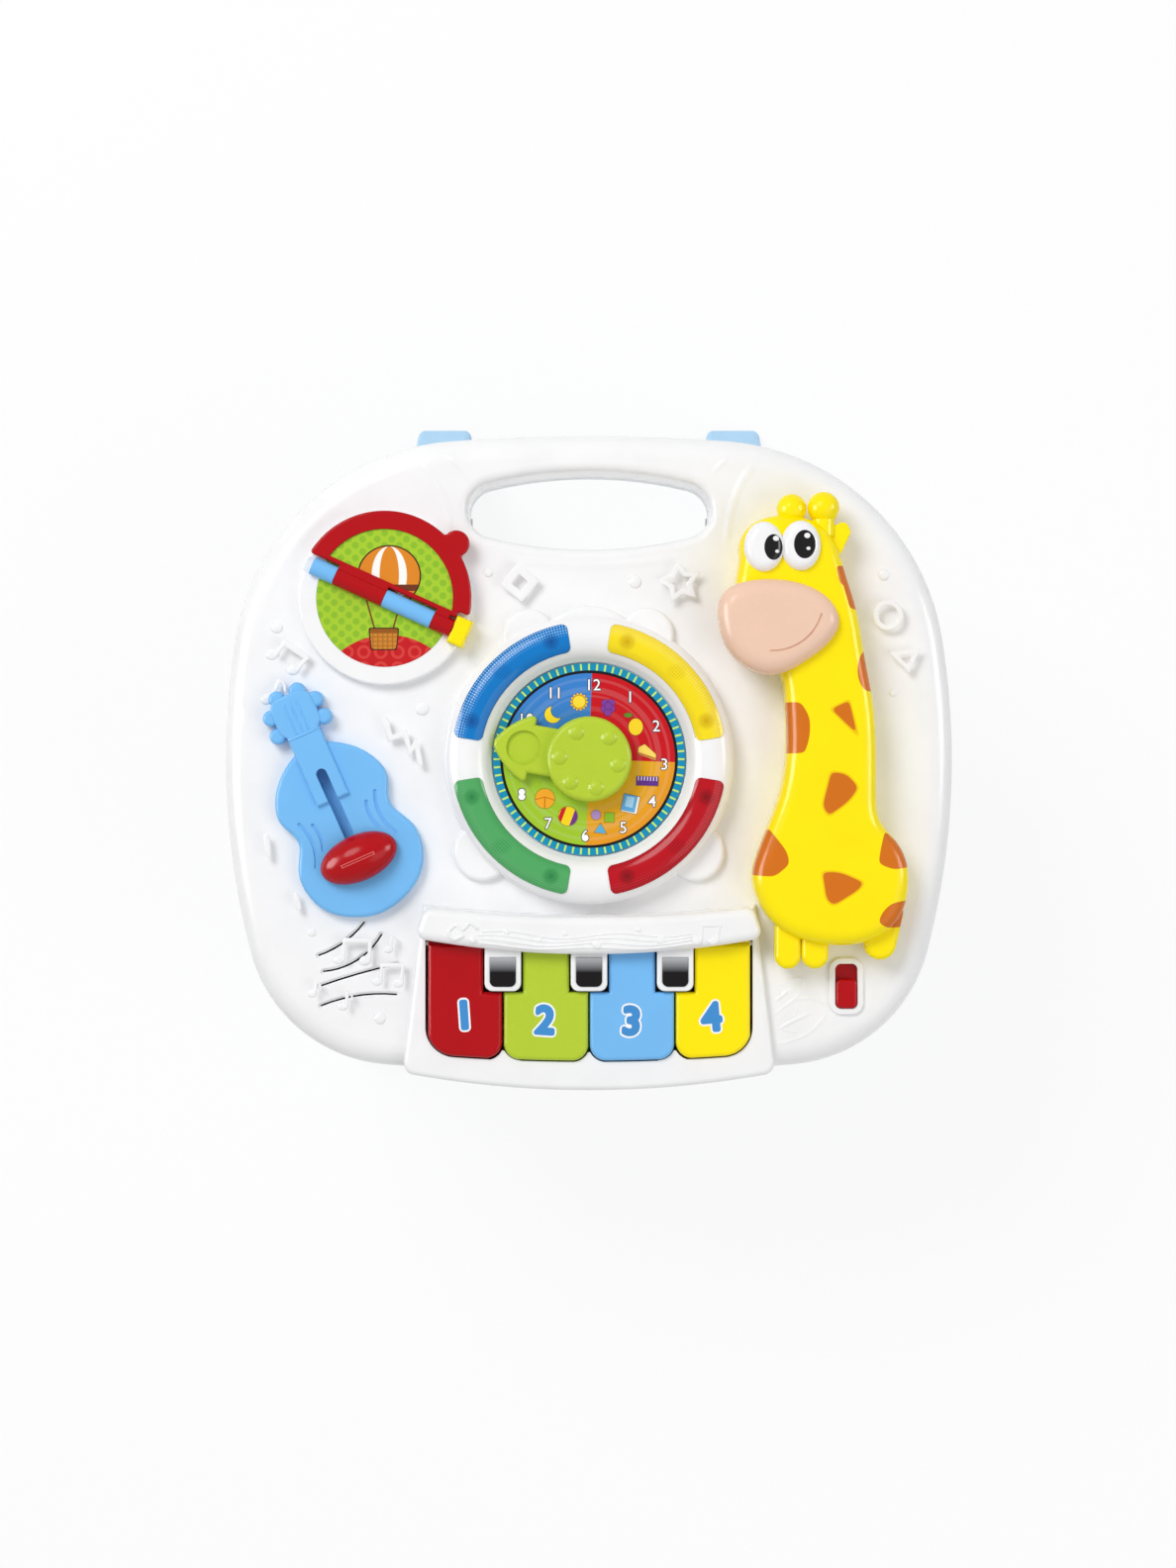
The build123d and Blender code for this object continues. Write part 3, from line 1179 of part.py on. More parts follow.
def make_guitar():
    top = PANEL_Z + GUITAR_HEIGHT
    left_side = [(-x, y) for x, y in reversed(GUITAR_SIDE)]
    face = loop_face([(0, GUITAR_TAIL)] + GUITAR_SIDE + [(0, GUITAR_SHOULDER)] + left_side)
    guitar = round_top(prism(face, PANEL_Z, top), GUITAR_EDGE)
    neck = plan((-NECK_HALF, NECK_HALF), (NECK_START, HEAD_CENTRE))
    neck += Pos(0, HEAD_CENTRE) * RectangleRounded(*HEAD_SIZE, HEAD_CORNER)
    guitar += round_top(prism(neck, PANEL_Z, top + NECK_RAISE), NECK_RAISE / 2)
    for x, y in PEG_PLACES:
        guitar += round_top(post(x, y, PANEL_Z, PANEL_Z + PEG_HEIGHT, PEG_RADIUS), PEG_RADIUS / 2)
    for points in SOUND_HOLES:
        for side in (1, -1):
            curve = [(side * x, y) for x, y in points]
            guitar -= groove(curve, SOUND_HOLE_WIDTH, top - SOUND_HOLE_DEPTH, top)
    return guitar_place(guitar - prism(strum_slot(0), PANEL_Z, top + NECK_RAISE))


def slider_base_z():
    return PANEL_Z + GUITAR_HEIGHT + NECK_RAISE + SLIDE_GAP


def make_strum_slider():
    low = slider_base_z()
    dome = scale(Sphere(1), by=(SLIDER_HALF_LENGTH, SLIDER_HALF_WIDTH, SLIDER_HEIGHT))
    dome = Pos(0, SLIDER_REST, low) * dome
    reach = 2 * SLIDER_HALF_LENGTH
    dome &= block((-reach, reach), (-reach, reach), (low, low + SLIDER_HEIGHT + SLIDE_GAP))
    stem_x, stem_y = SLIDER_STEM
    stem = block((-stem_x / 2, stem_x / 2), (SLIDER_REST - stem_y / 2, SLIDER_REST + stem_y / 2),
                 (CEILING_Z - SLIDE_GAP, low + SLIDER_HEIGHT / 2))
    return guitar_place(dome + stem)


def make_strum_shuttle():
    """Slide under the panel that closes the slot from below while the slider rests."""
    high = CEILING_Z - SLIDE_GAP
    end = SLIDER_STEM[1] / 2 + SLOT_END_GAP + SHUTTLE_LAP
    width = (-SHUTTLE_HALF_WIDTH, SHUTTLE_HALF_WIDTH)
    length = (SLIDER_REST - end, SLIDER_REST + SLIDER_TRAVEL + end)
    return guitar_place(block(width, length, (high - SHUTTLE_THICKNESS, high)))


def make_giraffe_back():
    back = prism(loop_face(GIRAFFE_OUTLINE), PANEL_Z, PANEL_Z + GIRAFFE_BACK)
    back = round_bottom(back, GIRAFFE_BACK_EDGE)
    for x, y in POST_PLACES:
        back -= post(x, y, PANEL_Z, PANEL_Z + POST_HEIGHT + SLIDE_GAP, POST_RADIUS + SLIDE_GAP)
    return back


def muzzle_prism():
    low, high = MUZZLE_Z
    return prism(loop_face(MUZZLE_OUTLINE), PANEL_Z + low, PANEL_Z + high)


def eye_prism(place):
    low, high = EYE_Z
    return prism(Pos(*place) * Ellipse(*EYE_HALF), PANEL_Z + low, PANEL_Z + high)


def make_giraffe_front():
    low = PANEL_Z + GIRAFFE_BACK
    front = round_top(prism(loop_face(GIRAFFE_OUTLINE), low, low + GIRAFFE_FRONT), GIRAFFE_EDGE)
    for x, y, radius in HORNS:
        front += Pos(x, y, PANEL_Z + HORN_Z) * Sphere(radius)
        stem = Pos(x, y, PANEL_Z + HORN_Z) * Rot(90, 0, 0) * Cylinder(HORN_STEM_RADIUS, 2 * HORN_STEM_BACK)
        front += stem & block((x - radius, x + radius), (y - HORN_STEM_BACK, y), (low, low + GIRAFFE_FRONT))
    ear = fillet(make_face(Polyline(*EAR, close=True)).vertices(), EAR_CORNER)
    front += round_top(prism(ear, PANEL_Z + EAR_Z[0], PANEL_Z + EAR_Z[1]), SWITCH_RIM_EDGE)
    for start, end, radius in HOOVES:
        hoof = prism(SlotArc(Line(start, end), 2 * radius), PANEL_Z + HOOF_Z[0], PANEL_Z + HOOF_Z[1])
        front += round_top(hoof, HOOF_EDGE)
    for x, y, width, depth in GIRAFFE_HOLLOW:
        hollow = RectangleRounded(width, depth, GIRAFFE_SKIN)
        front -= Pos(x, y) * prism(hollow, low, low + GIRAFFE_FRONT - GIRAFFE_SKIN)
    front -= muzzle_prism()
    for place in EYE_PLACES:
        front -= eye_prism(place)
    return front


def make_muzzle():
    muzzle = round_bottom(round_top(muzzle_prism(), MUZZLE_EDGE), MUZZLE_BACK_EDGE)
    top = PANEL_Z + MUZZLE_Z[1]
    return muzzle - groove(SMILE, SMILE_WIDTH, top - SMILE_DEPTH, top)


def make_eyes():
    return group([round_top(eye_prism(place), EYE_EDGE) for place in EYE_PLACES])


def make_switch_bezel():
    rim = prism(switch_window(SWITCH_RIM), PANEL_Z, PANEL_Z + SWITCH_RIM_HEIGHT)
    rim = round_top(rim, SWITCH_RIM_EDGE)
    return rim - prism(switch_window(0), PANEL_Z, PANEL_Z + SWITCH_RIM_HEIGHT)


def switch_cap_y():
    low = SWITCH_PLACE[1] - SWITCH_WINDOW[1] / 2 + SLIDE_GAP
    return low, low + SWITCH_CAP[1]


def skirt_y():
    half = SWITCH_WINDOW[1] / 2 + SWITCH_SKIRT_LAP
    return SWITCH_PLACE[1] - half - SWITCH_TRAVEL, SWITCH_PLACE[1] + half


def make_switch_cap():
    x = SWITCH_PLACE[0]
    half = SWITCH_CAP[0] / 2
    skirt_half = SWITCH_WINDOW[0] / 2 + SWITCH_SKIRT_LAP
    high = CEILING_Z - SLIDE_GAP
    cap = plan((x - half, x + half), switch_cap_y())
    cap = prism(fillet(cap.vertices(), SWITCH_WINDOW_CORNER - SLIDE_GAP), high, PANEL_Z + SWITCH_CAP_HEIGHT)
    cap = round_top(cap, SWITCH_CAP_EDGE)
    skirt = plan((x - skirt_half, x + skirt_half), skirt_y())
    return cap + prism(fillet(skirt.vertices(), SWITCH_SKIRT_CORNER), high - SWITCH_SKIRT, high)


def make_switch_body():
    x, y = SWITCH_PLACE
    high = CEILING_Z - 2 * SLIDE_GAP - SWITCH_SKIRT
    return Pos(x, y, high - SWITCH_BODY[2] / 2) * Box(*SWITCH_BODY)


def all_nodes():
    nodes = {
        "top_shell": make_top_shell(),
        "bottom_cover": make_bottom_cover(),
        "battery_door": make_battery_door(),
        "battery_door_screw": screw(*door_screw_place(), BASE_Z + SCREW_HEAD_HEIGHT, SCREW_LENGTH - WALL),
        "battery_cells": make_cells(),
        "cell_contacts": make_cell_contacts(),
        "main_board": make_main_board(),
        "speaker": make_speaker(),
        "case_screws": make_case_screws(),
        "bracket_screws": make_bracket_screws(),
        "leg_brackets": group([at_hinge(make_bracket(place), place) for place in leg_places().values()]),
        "hinge_pins": group([at_hinge(make_hinge_pin(), place) for place in leg_places().values()]),
        "keyboard_housing": make_keyboard_housing(),
        "key_bed": make_key_bed(),
        "key_rod": make_key_rod(),
        "key_domes": make_key_domes(),
        "keyboard_canopy": make_canopy(),
        "sharp_inserts": make_sharp_inserts(),
        "clock_base": make_clock_base(),
        "clock_bezel": make_bezel(),
        "lamp_board": make_lamp_board(),
        "lamps": make_lamps(),
        "dial_plate": make_dial(),
        "pointer_knob": make_pointer_knob(),
        "knob_retainer": make_knob_retainer(),
        "page_base": make_page_base(),
        "base_cards": make_base_cards(),
        "hinge_bar": make_hinge_bar(),
        "page_pin": make_page_pin(),
        "page_end_cap": make_end_cap(),
        "flip_page": make_flip_page(),
        "page_cards": make_page_cards(),
        "guitar_body": make_guitar(),
        "strum_slider": make_strum_slider(),
        "strum_shuttle": make_strum_shuttle(),
        "giraffe_back": make_giraffe_back(),
        "giraffe_front": make_giraffe_front(),
        "giraffe_muzzle": make_muzzle(),
        "giraffe_eyes": make_eyes(),
        "switch_bezel": make_switch_bezel(),
        "switch_cap": make_switch_cap(),
        "switch_body": make_switch_body(),
    }
    for name, place in leg_places().items():
        nodes["leg_" + name] = at_hinge(make_leg(), place)
        nodes["foot_pad_" + name] = at_hinge(make_foot_pad(), place)
    for index, name in enumerate(("key_red", "key_green", "key_blue", "key_yellow")):
        nodes[name] = make_key(index)
    for name, angle in WINDOW_ANGLES.items():
        nodes[name] = make_window(angle)
    return nodes


os.makedirs("parts", exist_ok=True)
for node, shape in all_nodes().items():
    export_step(Pos(0, SHIFT_Y, 0) * shape, "parts/" + node + ".step")
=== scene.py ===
import math

import bpy
from mathutils import Matrix, Vector
from mathutils.bvhtree import BVHTree
from mathutils.geometry import delaunay_2d_cdt


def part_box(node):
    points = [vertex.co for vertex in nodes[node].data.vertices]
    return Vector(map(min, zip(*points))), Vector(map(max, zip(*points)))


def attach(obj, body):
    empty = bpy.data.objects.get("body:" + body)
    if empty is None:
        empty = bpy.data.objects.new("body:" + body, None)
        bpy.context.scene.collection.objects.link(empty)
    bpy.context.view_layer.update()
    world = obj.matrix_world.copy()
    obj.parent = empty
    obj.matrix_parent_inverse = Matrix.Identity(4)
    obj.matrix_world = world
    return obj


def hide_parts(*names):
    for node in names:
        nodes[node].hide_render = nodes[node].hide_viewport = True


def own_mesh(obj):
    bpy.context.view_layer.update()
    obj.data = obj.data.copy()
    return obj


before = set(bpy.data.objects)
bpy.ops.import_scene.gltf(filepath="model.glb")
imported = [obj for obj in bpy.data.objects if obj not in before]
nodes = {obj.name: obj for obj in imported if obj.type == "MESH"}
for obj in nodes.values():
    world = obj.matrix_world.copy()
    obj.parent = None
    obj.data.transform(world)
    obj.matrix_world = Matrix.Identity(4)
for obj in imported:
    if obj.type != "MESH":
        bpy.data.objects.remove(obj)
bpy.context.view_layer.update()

MM = 0.001

# The clock's middle on the top face is the origin of every drawing below, in millimetres
dial_low, dial_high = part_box("dial_plate")
PANEL = Vector(((dial_low.x + dial_high.x) / 2, (dial_low.y + dial_high.y) / 2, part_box("top_shell")[1].z))

# Colours as they are seen
WHITE = (243, 243, 244)
LIME = (182, 206, 54)
PAGE_LIME = (166, 204, 48)
LEAF_GREEN = (140, 188, 44)
RED = (178, 0, 12)
SKY = (118, 187, 242)
PALE_SKY = (168, 214, 247)
YELLOW = (255, 232, 0)
PEACH = (237, 200, 177)
SPOT = (212, 112, 20)
BLACK = (16, 13, 14)
SILVER = (176, 178, 182)
NUMBER_BLUE = (66, 142, 208)

# Heights above the top face
DIAL_TOP = (dial_high.z - PANEL.z) / MM
KEY_TOP = (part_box("key_red")[1].z - PANEL.z) / MM


def linear(colour):
    """Screen colour to linear light."""
    return tuple((c / 255 / 12.92) if c < 10.3 else ((c / 255 + 0.055) / 1.055) ** 2.4 for c in colour) + (1,)


def spot(x, y, z=0.0):
    """A place in the drawing's millimetres."""
    return PANEL + Vector((x, y, z)) * MM


class Field:
    """A number at each point of a surface, made of Math nodes."""

    def __init__(self, tree, socket):
        self.tree, self.socket = tree, socket

    def math(self, operation, *others):
        node = self.tree.nodes.new("ShaderNodeMath")
        node.operation = operation
        for place, value in enumerate((self,) + others):
            if isinstance(value, Field):
                self.tree.links.new(value.socket, node.inputs[place])
            else:
                node.inputs[place].default_value = value
        return Field(self.tree, node.outputs[0])

    def __add__(self, other):
        return self.math("ADD", other)

    def __sub__(self, other):
        return self.math("SUBTRACT", other)

    def __mul__(self, other):
        return self.math("MULTIPLY", other)

    def __truediv__(self, other):
        return self.math("DIVIDE", other)

    def flip(self):
        return self * -1 + 1

    def size(self):
        return self.math("ABSOLUTE")

    def inside(self, soft=0.12):
        """1 where a distance is below nought, 0 outside, with a soft edge in millimetres."""
        return (self * (-1 / soft) + 0.5).math("MINIMUM", 1.0).math("MAXIMUM", 0.0)

    def hypot(self, other):
        return (self * self + other * other).math("SQRT")

    def repeat(self, pitch):
        return self.math("FLOORED_MODULO", pitch) - pitch / 2


# Sockets of a Mix node that blends colours: lower colour, upper colour and result
LOWER, UPPER, BLENDED = 6, 7, 2


class Finish:
    """A moulded plastic whose colour carries prints, and in a few places painted shade and painted
    highlights, laid one over another in millimetres.
    """

    SHINE = 0.15
    # Sizes of the pattern of the colour's cloud, of the gloss and of the skin
    CLOUD_SCALE, GLOSS_SCALE, SKIN_SCALE = 0.045, 0.35, 1.4
    SKIN_STRENGTH = 0.05
    SKIN_DEPTH = 0.2

    def __init__(self, name, colour, rough, centre=(0, 0), turn=0.0, size=1.0, cloud=0.05, **sockets):
        self.material = bpy.data.materials.new(name)
        self.material.use_nodes = True
        self.tree = self.material.node_tree
        self.shader = self.tree.nodes["Principled BSDF"]
        self.rough, self.cloud = rough, cloud
        self.shader.inputs["Roughness"].default_value = rough
        self.shader.inputs["Specular IOR Level"].default_value = self.SHINE
        for socket, value in sockets.items():
            self.shader.inputs[socket.replace("_", " ")].default_value = value
        place = self.tree.nodes.new("ShaderNodeTexCoord")
        mapping = self.tree.nodes.new("ShaderNodeMapping")
        mapping.vector_type = "TEXTURE"
        mapping.inputs["Location"].default_value = spot(*centre)
        mapping.inputs["Rotation"].default_value = (0, 0, math.radians(turn))
        mapping.inputs["Scale"].default_value = (size * MM, size * MM, MM)
        self.tree.links.new(place.outputs["Object"], mapping.inputs["Vector"])
        self.place = mapping.outputs["Vector"]
        split = self.tree.nodes.new("ShaderNodeSeparateXYZ")
        self.tree.links.new(self.place, split.inputs[0])
        self.x, self.y = (Field(self.tree, split.outputs[k]) for k in range(2))
        self.colour = linear(colour)

    def put(self, value, socket):
        if isinstance(value, tuple):
            socket.default_value = value
        else:
            self.tree.links.new(value, socket)

    def lay(self, mask, colour):
        """Lays a colour where the mask is 1: a print, and in a few places painted shade or a painted
        highlight.
        """
        mix = self.tree.nodes.new("ShaderNodeMix")
        mix.data_type = "RGBA"
        self.tree.links.new(mask.socket, mix.inputs["Factor"])
        self.put(self.colour, mix.inputs[LOWER])
        self.put(linear(colour), mix.inputs[UPPER])
        self.colour = mix.outputs[BLENDED]
        return self

    def noise(self, scale, detail=2.0):
        cloud = self.tree.nodes.new("ShaderNodeTexNoise")
        cloud.inputs["Scale"].default_value = scale
        cloud.inputs["Detail"].default_value = detail
        self.tree.links.new(self.place, cloud.inputs["Vector"])
        return Field(self.tree, cloud.outputs[0])

    def disc(self, x, y, radius):
        return self.oval(x, y, radius, radius)

    def oval(self, x, y, half_x, half_y):
        across, along = (self.x - x) / half_x, (self.y - y) / half_y
        return (across.hypot(along) - 1) * min(half_x, half_y)

    def patch(self, points, corner=1.6):
        """Distance to a convex outline with soft corners, its points going round anticlockwise."""
        found = None
        for (ax, ay), (bx, by) in zip(points, points[1:] + points[:1]):
            length = math.hypot(bx - ax, by - ay)
            nx, ny = (by - ay) / length, (ax - bx) / length
            side = self.x * nx + self.y * ny - (ax * nx + ay * ny)
            found = side if found is None else found.math("SMOOTH_MAX", side, corner)
        return found

    def done(self):
        """Adds the slight cloud in the colour, the uneven gloss and the fine skin of a moulded surface."""
        tone = self.noise(self.CLOUD_SCALE, 3.0) * (2 * self.cloud) + (1 - self.cloud)
        mix = self.tree.nodes.new("ShaderNodeMix")
        mix.data_type, mix.blend_type = "RGBA", "MULTIPLY"
        mix.inputs["Factor"].default_value = 1.0
        self.put(self.colour, mix.inputs[LOWER])
        self.tree.links.new(tone.socket, mix.inputs[UPPER])
        self.tree.links.new(mix.outputs[BLENDED], self.shader.inputs["Base Color"])
        gloss = self.noise(self.GLOSS_SCALE, 4.0) * (0.5 * self.rough) + 0.75 * self.rough
        self.tree.links.new(gloss.socket, self.shader.inputs["Roughness"])
        bump = self.tree.nodes.new("ShaderNodeBump")
        bump.inputs["Strength"].default_value = self.SKIN_STRENGTH
        bump.inputs["Distance"].default_value = self.SKIN_DEPTH * MM
        self.tree.links.new(self.noise(self.SKIN_SCALE).socket, bump.inputs["Height"])
        self.tree.links.new(bump.outputs[0], self.shader.inputs["Normal"])
        return self.material


# The thin clear gloss of most moulded and printed faces
COAT = {"Coat_Weight": 0.05, "Coat_Roughness": 0.1}


def plastic(name, colour, rough):
    return Finish(name, colour, rough, **COAT).done()


def giraffe_coat():
    """Yellow plastic with the brown patches sprayed on, drawn as they are seen from above, some of them
    ringed with painted shade.
    """
    coat = Finish("spotted_yellow_plastic", YELLOW, 0.22, (0, -0.22), size=0.982,
                  Coat_Weight=0.05, Coat_Roughness=0.08)
    shade_ringed_patches = [[(121.9, 24.7), (131.6, 15.3), (128.5, 27.9)],
            [(121.0, -7.3), (116.9, -23.2), (119.3, -26.6), (129.1, -19.8), (132.6, -13.9), (127.4, -8.0)],
            [(117.0, -57.0), (118.9, -69.6), (121.5, -71.4), (134.1, -63.7), (135.1, -61.7), (124.0, -56.6)]]
    edges = [[(90.0, 27.4), (90.0, 3.8), (106.3, 4.1), (108.8, 10.5), (108.8, 20.7), (104.6, 27.4)],
             [(88.9, -35.4), (78.0, -45.1), (78.0, -56.4), (91.9, -57.3), (98.4, -51.9), (97.9, -46.8)],
             [(147.6, -37.2), (145.9, -41.8), (144.9, -51.0), (151.0, -53.9), (162.0, -52.2), (160.0, -48.5)],
             [(160.0, -71.0), (151.0, -72.1), (145.9, -76.9), (144.9, -80.6), (148.5, -83.1), (160.0, -82.6)],
             [(124.0, 95.4), (125.7, 87.5), (127.6, 87.0), (127.6, 95.4)],
             [(126.0, 92.0), (130.4, 75.8), (134.0, 75.5), (130.0, 94.0)]]
    for points in shade_ringed_patches:
        shape = coat.patch(points, 4.0) - 0.9
        # Painted shade: a darker yellow ring round each of these patches stands in for a slight raised edge.
        coat.lay((shape - 0.8).inside(0.8), (242, 196, 0)).lay(shape.inside(), SPOT)
    for points in edges:
        coat.lay((coat.patch(points, 3.5) - 1.0).inside(), SPOT)
    coat.lay(coat.oval(139.6, 44.3, 6.2, 10.5).inside(), SPOT)
    return coat.done()


def giraffe_gaze():
    """White eyes with printed pupils."""
    gaze = Finish("eye_white_plastic", WHITE, 0.18, (0, -0.26), size=0.979,
                  Coat_Weight=0.1, Coat_Roughness=0.08)
    for x, y, half_x, half_y in ((91.6, 105.4, 4.6, 6.4), (107.1, 106.8, 5.4, 7.1)):
        gaze.lay(gaze.oval(x, y, half_x, half_y).inside(), BLACK)
        gaze.lay(gaze.oval(x + 1.2, y + 4.3, 1.5, 1.3).inside(), WHITE)
        gaze.lay(gaze.oval(x + 1.8, y - 2.1, 1.0, 0.8).inside(), WHITE)
    return gaze.done()


def dial_print():
    """Four coloured quarters with a minute ring and small pictures of plain things."""
    dial = Finish("printed_dial", (57, 128, 205), 0.22, turn=-2.0, **COAT)
    right, upper = (dial.x * -1).inside(), (dial.y * -1).inside()
    dial.lay(right, (200, 10, 25))
    dial.lay(right * upper.flip(), (226, 176, 10))
    dial.lay(right.flip() * upper.flip(), (160, 198, 44))
    out = dial.disc(0, 0, 1) + 1
    amber = ((out - 20) / 26).math("MAXIMUM", 0.0) * right * upper.flip()
    dial.lay(amber * 0.7, (232, 130, 40))
    for middle, half, share in ((34.4, 1.4, 0.05), (39.4, 0.7, 0.05), (31.2, 0.5, 0.05), (25.0, 1.2, 0.03)):
        dial.lay(((out - middle).size() - half).inside(0.5) * share, (255, 255, 255))

    def icon(mark, colour, rim=(84, 60, 30)):
        dial.lay((mark - 0.35).inside(0.3) * 0.6, rim).lay(mark.inside(), colour)

    def tilted(x, y, half_x, half_y, turn):
        c, s = math.cos(math.radians(turn)), math.sin(math.radians(turn))
        ends = [(-half_x, -half_y), (half_x, -half_y), (half_x, half_y), (-half_x, half_y)]
        return dial.patch([(x + u * c - v * s, y + u * s + v * c) for u, v in ends], 0.7)

    # Sun, moon, grapes, lemon with a leaf
    across, along = dial.x + 5.9, dial.y - 28.2
    rays = (along.math("ARCTAN2", across) * 14).math("COSINE") * 0.5
    icon(dial.disc(-5.9, 28.2, 4.0) - rays, (250, 190, 24))
    icon(dial.disc(-5.9, 28.2, 3.0), (255, 222, 60))
    icon(dial.disc(-18.6, 21.4, 4.1).math("MAXIMUM", dial.disc(-15.9, 23.6, 3.9) * -1), (254, 222, 40))
    for x, y in ((7.0, 28.0), (10.0, 28.2), (6.8, 25.2), (10.2, 25.4), (8.5, 23.4), (8.6, 26.6)):
        icon(dial.disc(x, y, 1.7), (128, 62, 160), (70, 20, 90))
    icon(dial.oval(22.5, 16.8, 3.5, 4.1), (250, 214, 40))
    icon(dial.oval(18.6, 22.4, 2.0, 1.1), (96, 140, 40))
    # Cheese, ruler, framed window
    wedge = dial.patch([(24.2, 3.4), (33.0, 0.6), (33.0, 3.6), (27.2, 8.4), (24.2, 6.6)], 0.7)
    icon(wedge, (250, 216, 100))
    dial.lay(wedge.inside() * ((dial.y + dial.x * 0.3 - 11.2).size() - 0.5).inside(), (196, 120, 60))
    ruler = tilted(29.2, -9.8, 5.4, 2.2, 0)
    icon(ruler, (96, 48, 140))
    marks = (dial.x.repeat(1.5).size() - 0.25).inside()
    dial.lay(ruler.inside() * marks * (dial.y * -1 - 9.6).inside(), (230, 220, 240))
    icon(tilted(21.2, -21.4, 3.9, 4.3, -10), (246, 248, 250))
    icon(tilted(20.6, -20.9, 3.3, 4.0, -10), (92, 170, 226))
    icon(tilted(20.8, -20.4, 2.0, 2.6, -10), (168, 214, 244), (92, 170, 226))
    # Round, square and three-cornered shapes, striped ball, toy block
    icon(dial.disc(4.4, -27.4, 2.3), (178, 142, 206))
    icon(tilted(11.1, -28.4, 2.3, 2.3, 0), (140, 190, 40))
    icon(dial.patch([(4.0, -36.0), (9.8, -36.4), (6.8, -31.6)], 0.7), (86, 178, 220))
    ball = dial.disc(-9.4, -28.5, 4.7)
    icon(ball, (250, 214, 30))
    lean = (dial.x + 9.4) * 0.9 - (dial.y + 28.5) * 0.3
    dial.lay(ball.inside() * ((lean + 3.1).size() - 1.0).inside(), (206, 24, 36))
    dial.lay(ball.inside() * ((lean - 3.3).size() - 1.2).inside(), (110, 50, 140))
    block = dial.disc(-21.1, -20.2, 4.8)
    icon(block, (246, 170, 40))
    upright = ((dial.x + 21.1).size() - 0.35).inside()
    dial.lay(block.inside() * upright * (dial.y + 19.6).inside(), (206, 120, 20))
    fold = (dial.y + 19.4 + (dial.x + 21.1).size() * 0.3).size() - 0.3
    dial.lay(block.inside() * fold.inside(), (206, 120, 20))
    # Black line and blue ring under the minute ticks
    dial.lay((out * -1 + 42.5).inside(), (14, 14, 16))
    dial.lay((out * -1 + 43.9).inside(), (16, 142, 184))
    return dial.done()


def balloon_picture(name):
    """A plain picture of a hot-air balloon over red hills, printed on the page and its base."""
    card = Finish(name, PAGE_LIME, 0.25, **COAT)
    for shift_x, shift_y in ((0, 0), (3.6, 3.1)):
        across, along = (card.x - shift_x).repeat(7.2), (card.y - shift_y).repeat(6.2)
        dots = across.hypot(along) - 1.7
        card.lay(dots.inside(0.3), LEAF_GREEN)
    hill = card.disc(-99.5, 24, 37.5)
    across, along = (card.x - 2).repeat(8.4), (card.y - 1).repeat(8.0)
    rings = (across.hypot(along) - 2.7).size() - 0.7
    card.lay(hill.inside(), (196, 24, 30)).lay(hill.inside() * rings.inside(0.4), (214, 62, 58))
    ink, rope = (52, 28, 14), (120, 70, 30)
    for x, reach in ((-106.5, 1), (-96.5, -1)):
        line = ((card.x - x) + (card.y - 66) * (0.28 * reach)).size() - 0.45
        span = (card.y - 71).size() - 9
        card.lay(line.math("MAXIMUM", span).inside(), rope)
    basket = card.patch([(-107.5, 54.5), (-95.5, 54.5), (-94.5, 64.5), (-108.5, 64.5)], 2.0)
    weave = (card.x.repeat(2.4).size() - 0.35).math("MINIMUM", card.y.repeat(2.2).size() - 0.3)
    card.lay((basket - 0.6).inside(), ink).lay(basket.inside(), (206, 134, 46))
    card.lay(basket.inside() * weave.inside(0.3) * 0.6, (150, 86, 26))
    card.lay(basket.inside() * ((card.y - 63.4).size() - 1.1).inside(), (150, 86, 26))
    envelope = card.oval(-98.5, 90.5, 15.0, 14.4)
    wide = (card.y - 90.5) / 14.4
    gore = ((card.x + 98.5) / (wide * wide).flip().math("MAXIMUM", 0.02).math("SQRT") / 15.0).size()
    card.lay((envelope - 0.7).inside(), ink).lay(envelope.inside(), (222, 134, 36))
    card.lay(envelope.inside() * ((gore - 0.45).size() - 0.13).inside(0.02), (248, 246, 240))
    card.lay(envelope.inside() * ((card.y - 84.5).size() - 1.6).inside(), (110, 52, 24))
    return card.done()


# Light windows: radius of their middle line and of the dotted rows, and the bosses' turn from the middle
LENS_MIDDLE = 60.5
LENS_ROWS = 66.5
LENS_BOSS_TURN = 27


def lamp_lens(name, colour, dark, middle, sparkle):
    """A tinted lens darkened by painted shade towards both its edges, with dotted rows near its rim, a dotted
    patch over the lamp and a boss at each end.
    """
    lens = Finish(name, colour, 0.12, Coat_Weight=0.08, Coat_Roughness=0.05)
    out = lens.disc(0, 0, 1) + 1
    angle = lens.y.math("ARCTAN2", lens.x) * (180 / math.pi)
    dots = (angle.repeat(1.2) * 1.1).math("POWER", 2.0) + out.repeat(1.3).math("POWER", 2.0)
    speckle = (dots.math("SQRT") - 0.34).inside(0.3)
    rim = ((out - LENS_ROWS).size() - 4.0).inside(2.5)
    # Painted shade: the lens grows darker towards its inner and outer edges.
    lens.lay(((out - LENS_MIDDLE).size() - 5.4).inside(4.0).flip() * 0.3, dark)
    lens.lay(speckle * rim * sparkle, tuple(0.3 * c + 0.7 * 255 for c in colour))
    x, y = (LENS_MIDDLE * trig(math.radians(middle)) for trig in (math.cos, math.sin))
    lens.lay(speckle * lens.oval(x, y, 4.6, 3.6).inside(2.0) * 0.9, dark)
    for end in (-LENS_BOSS_TURN, LENS_BOSS_TURN):
        x, y = (LENS_MIDDLE * trig(math.radians(middle + end)) for trig in (math.cos, math.sin))
        boss = lens.disc(x, y, 3.0)
        lens.lay((boss - 0.6).inside(2.4) * 0.6, dark).lay((boss + 1.7).inside(0.6) * 0.7, dark)
    return lens.done()


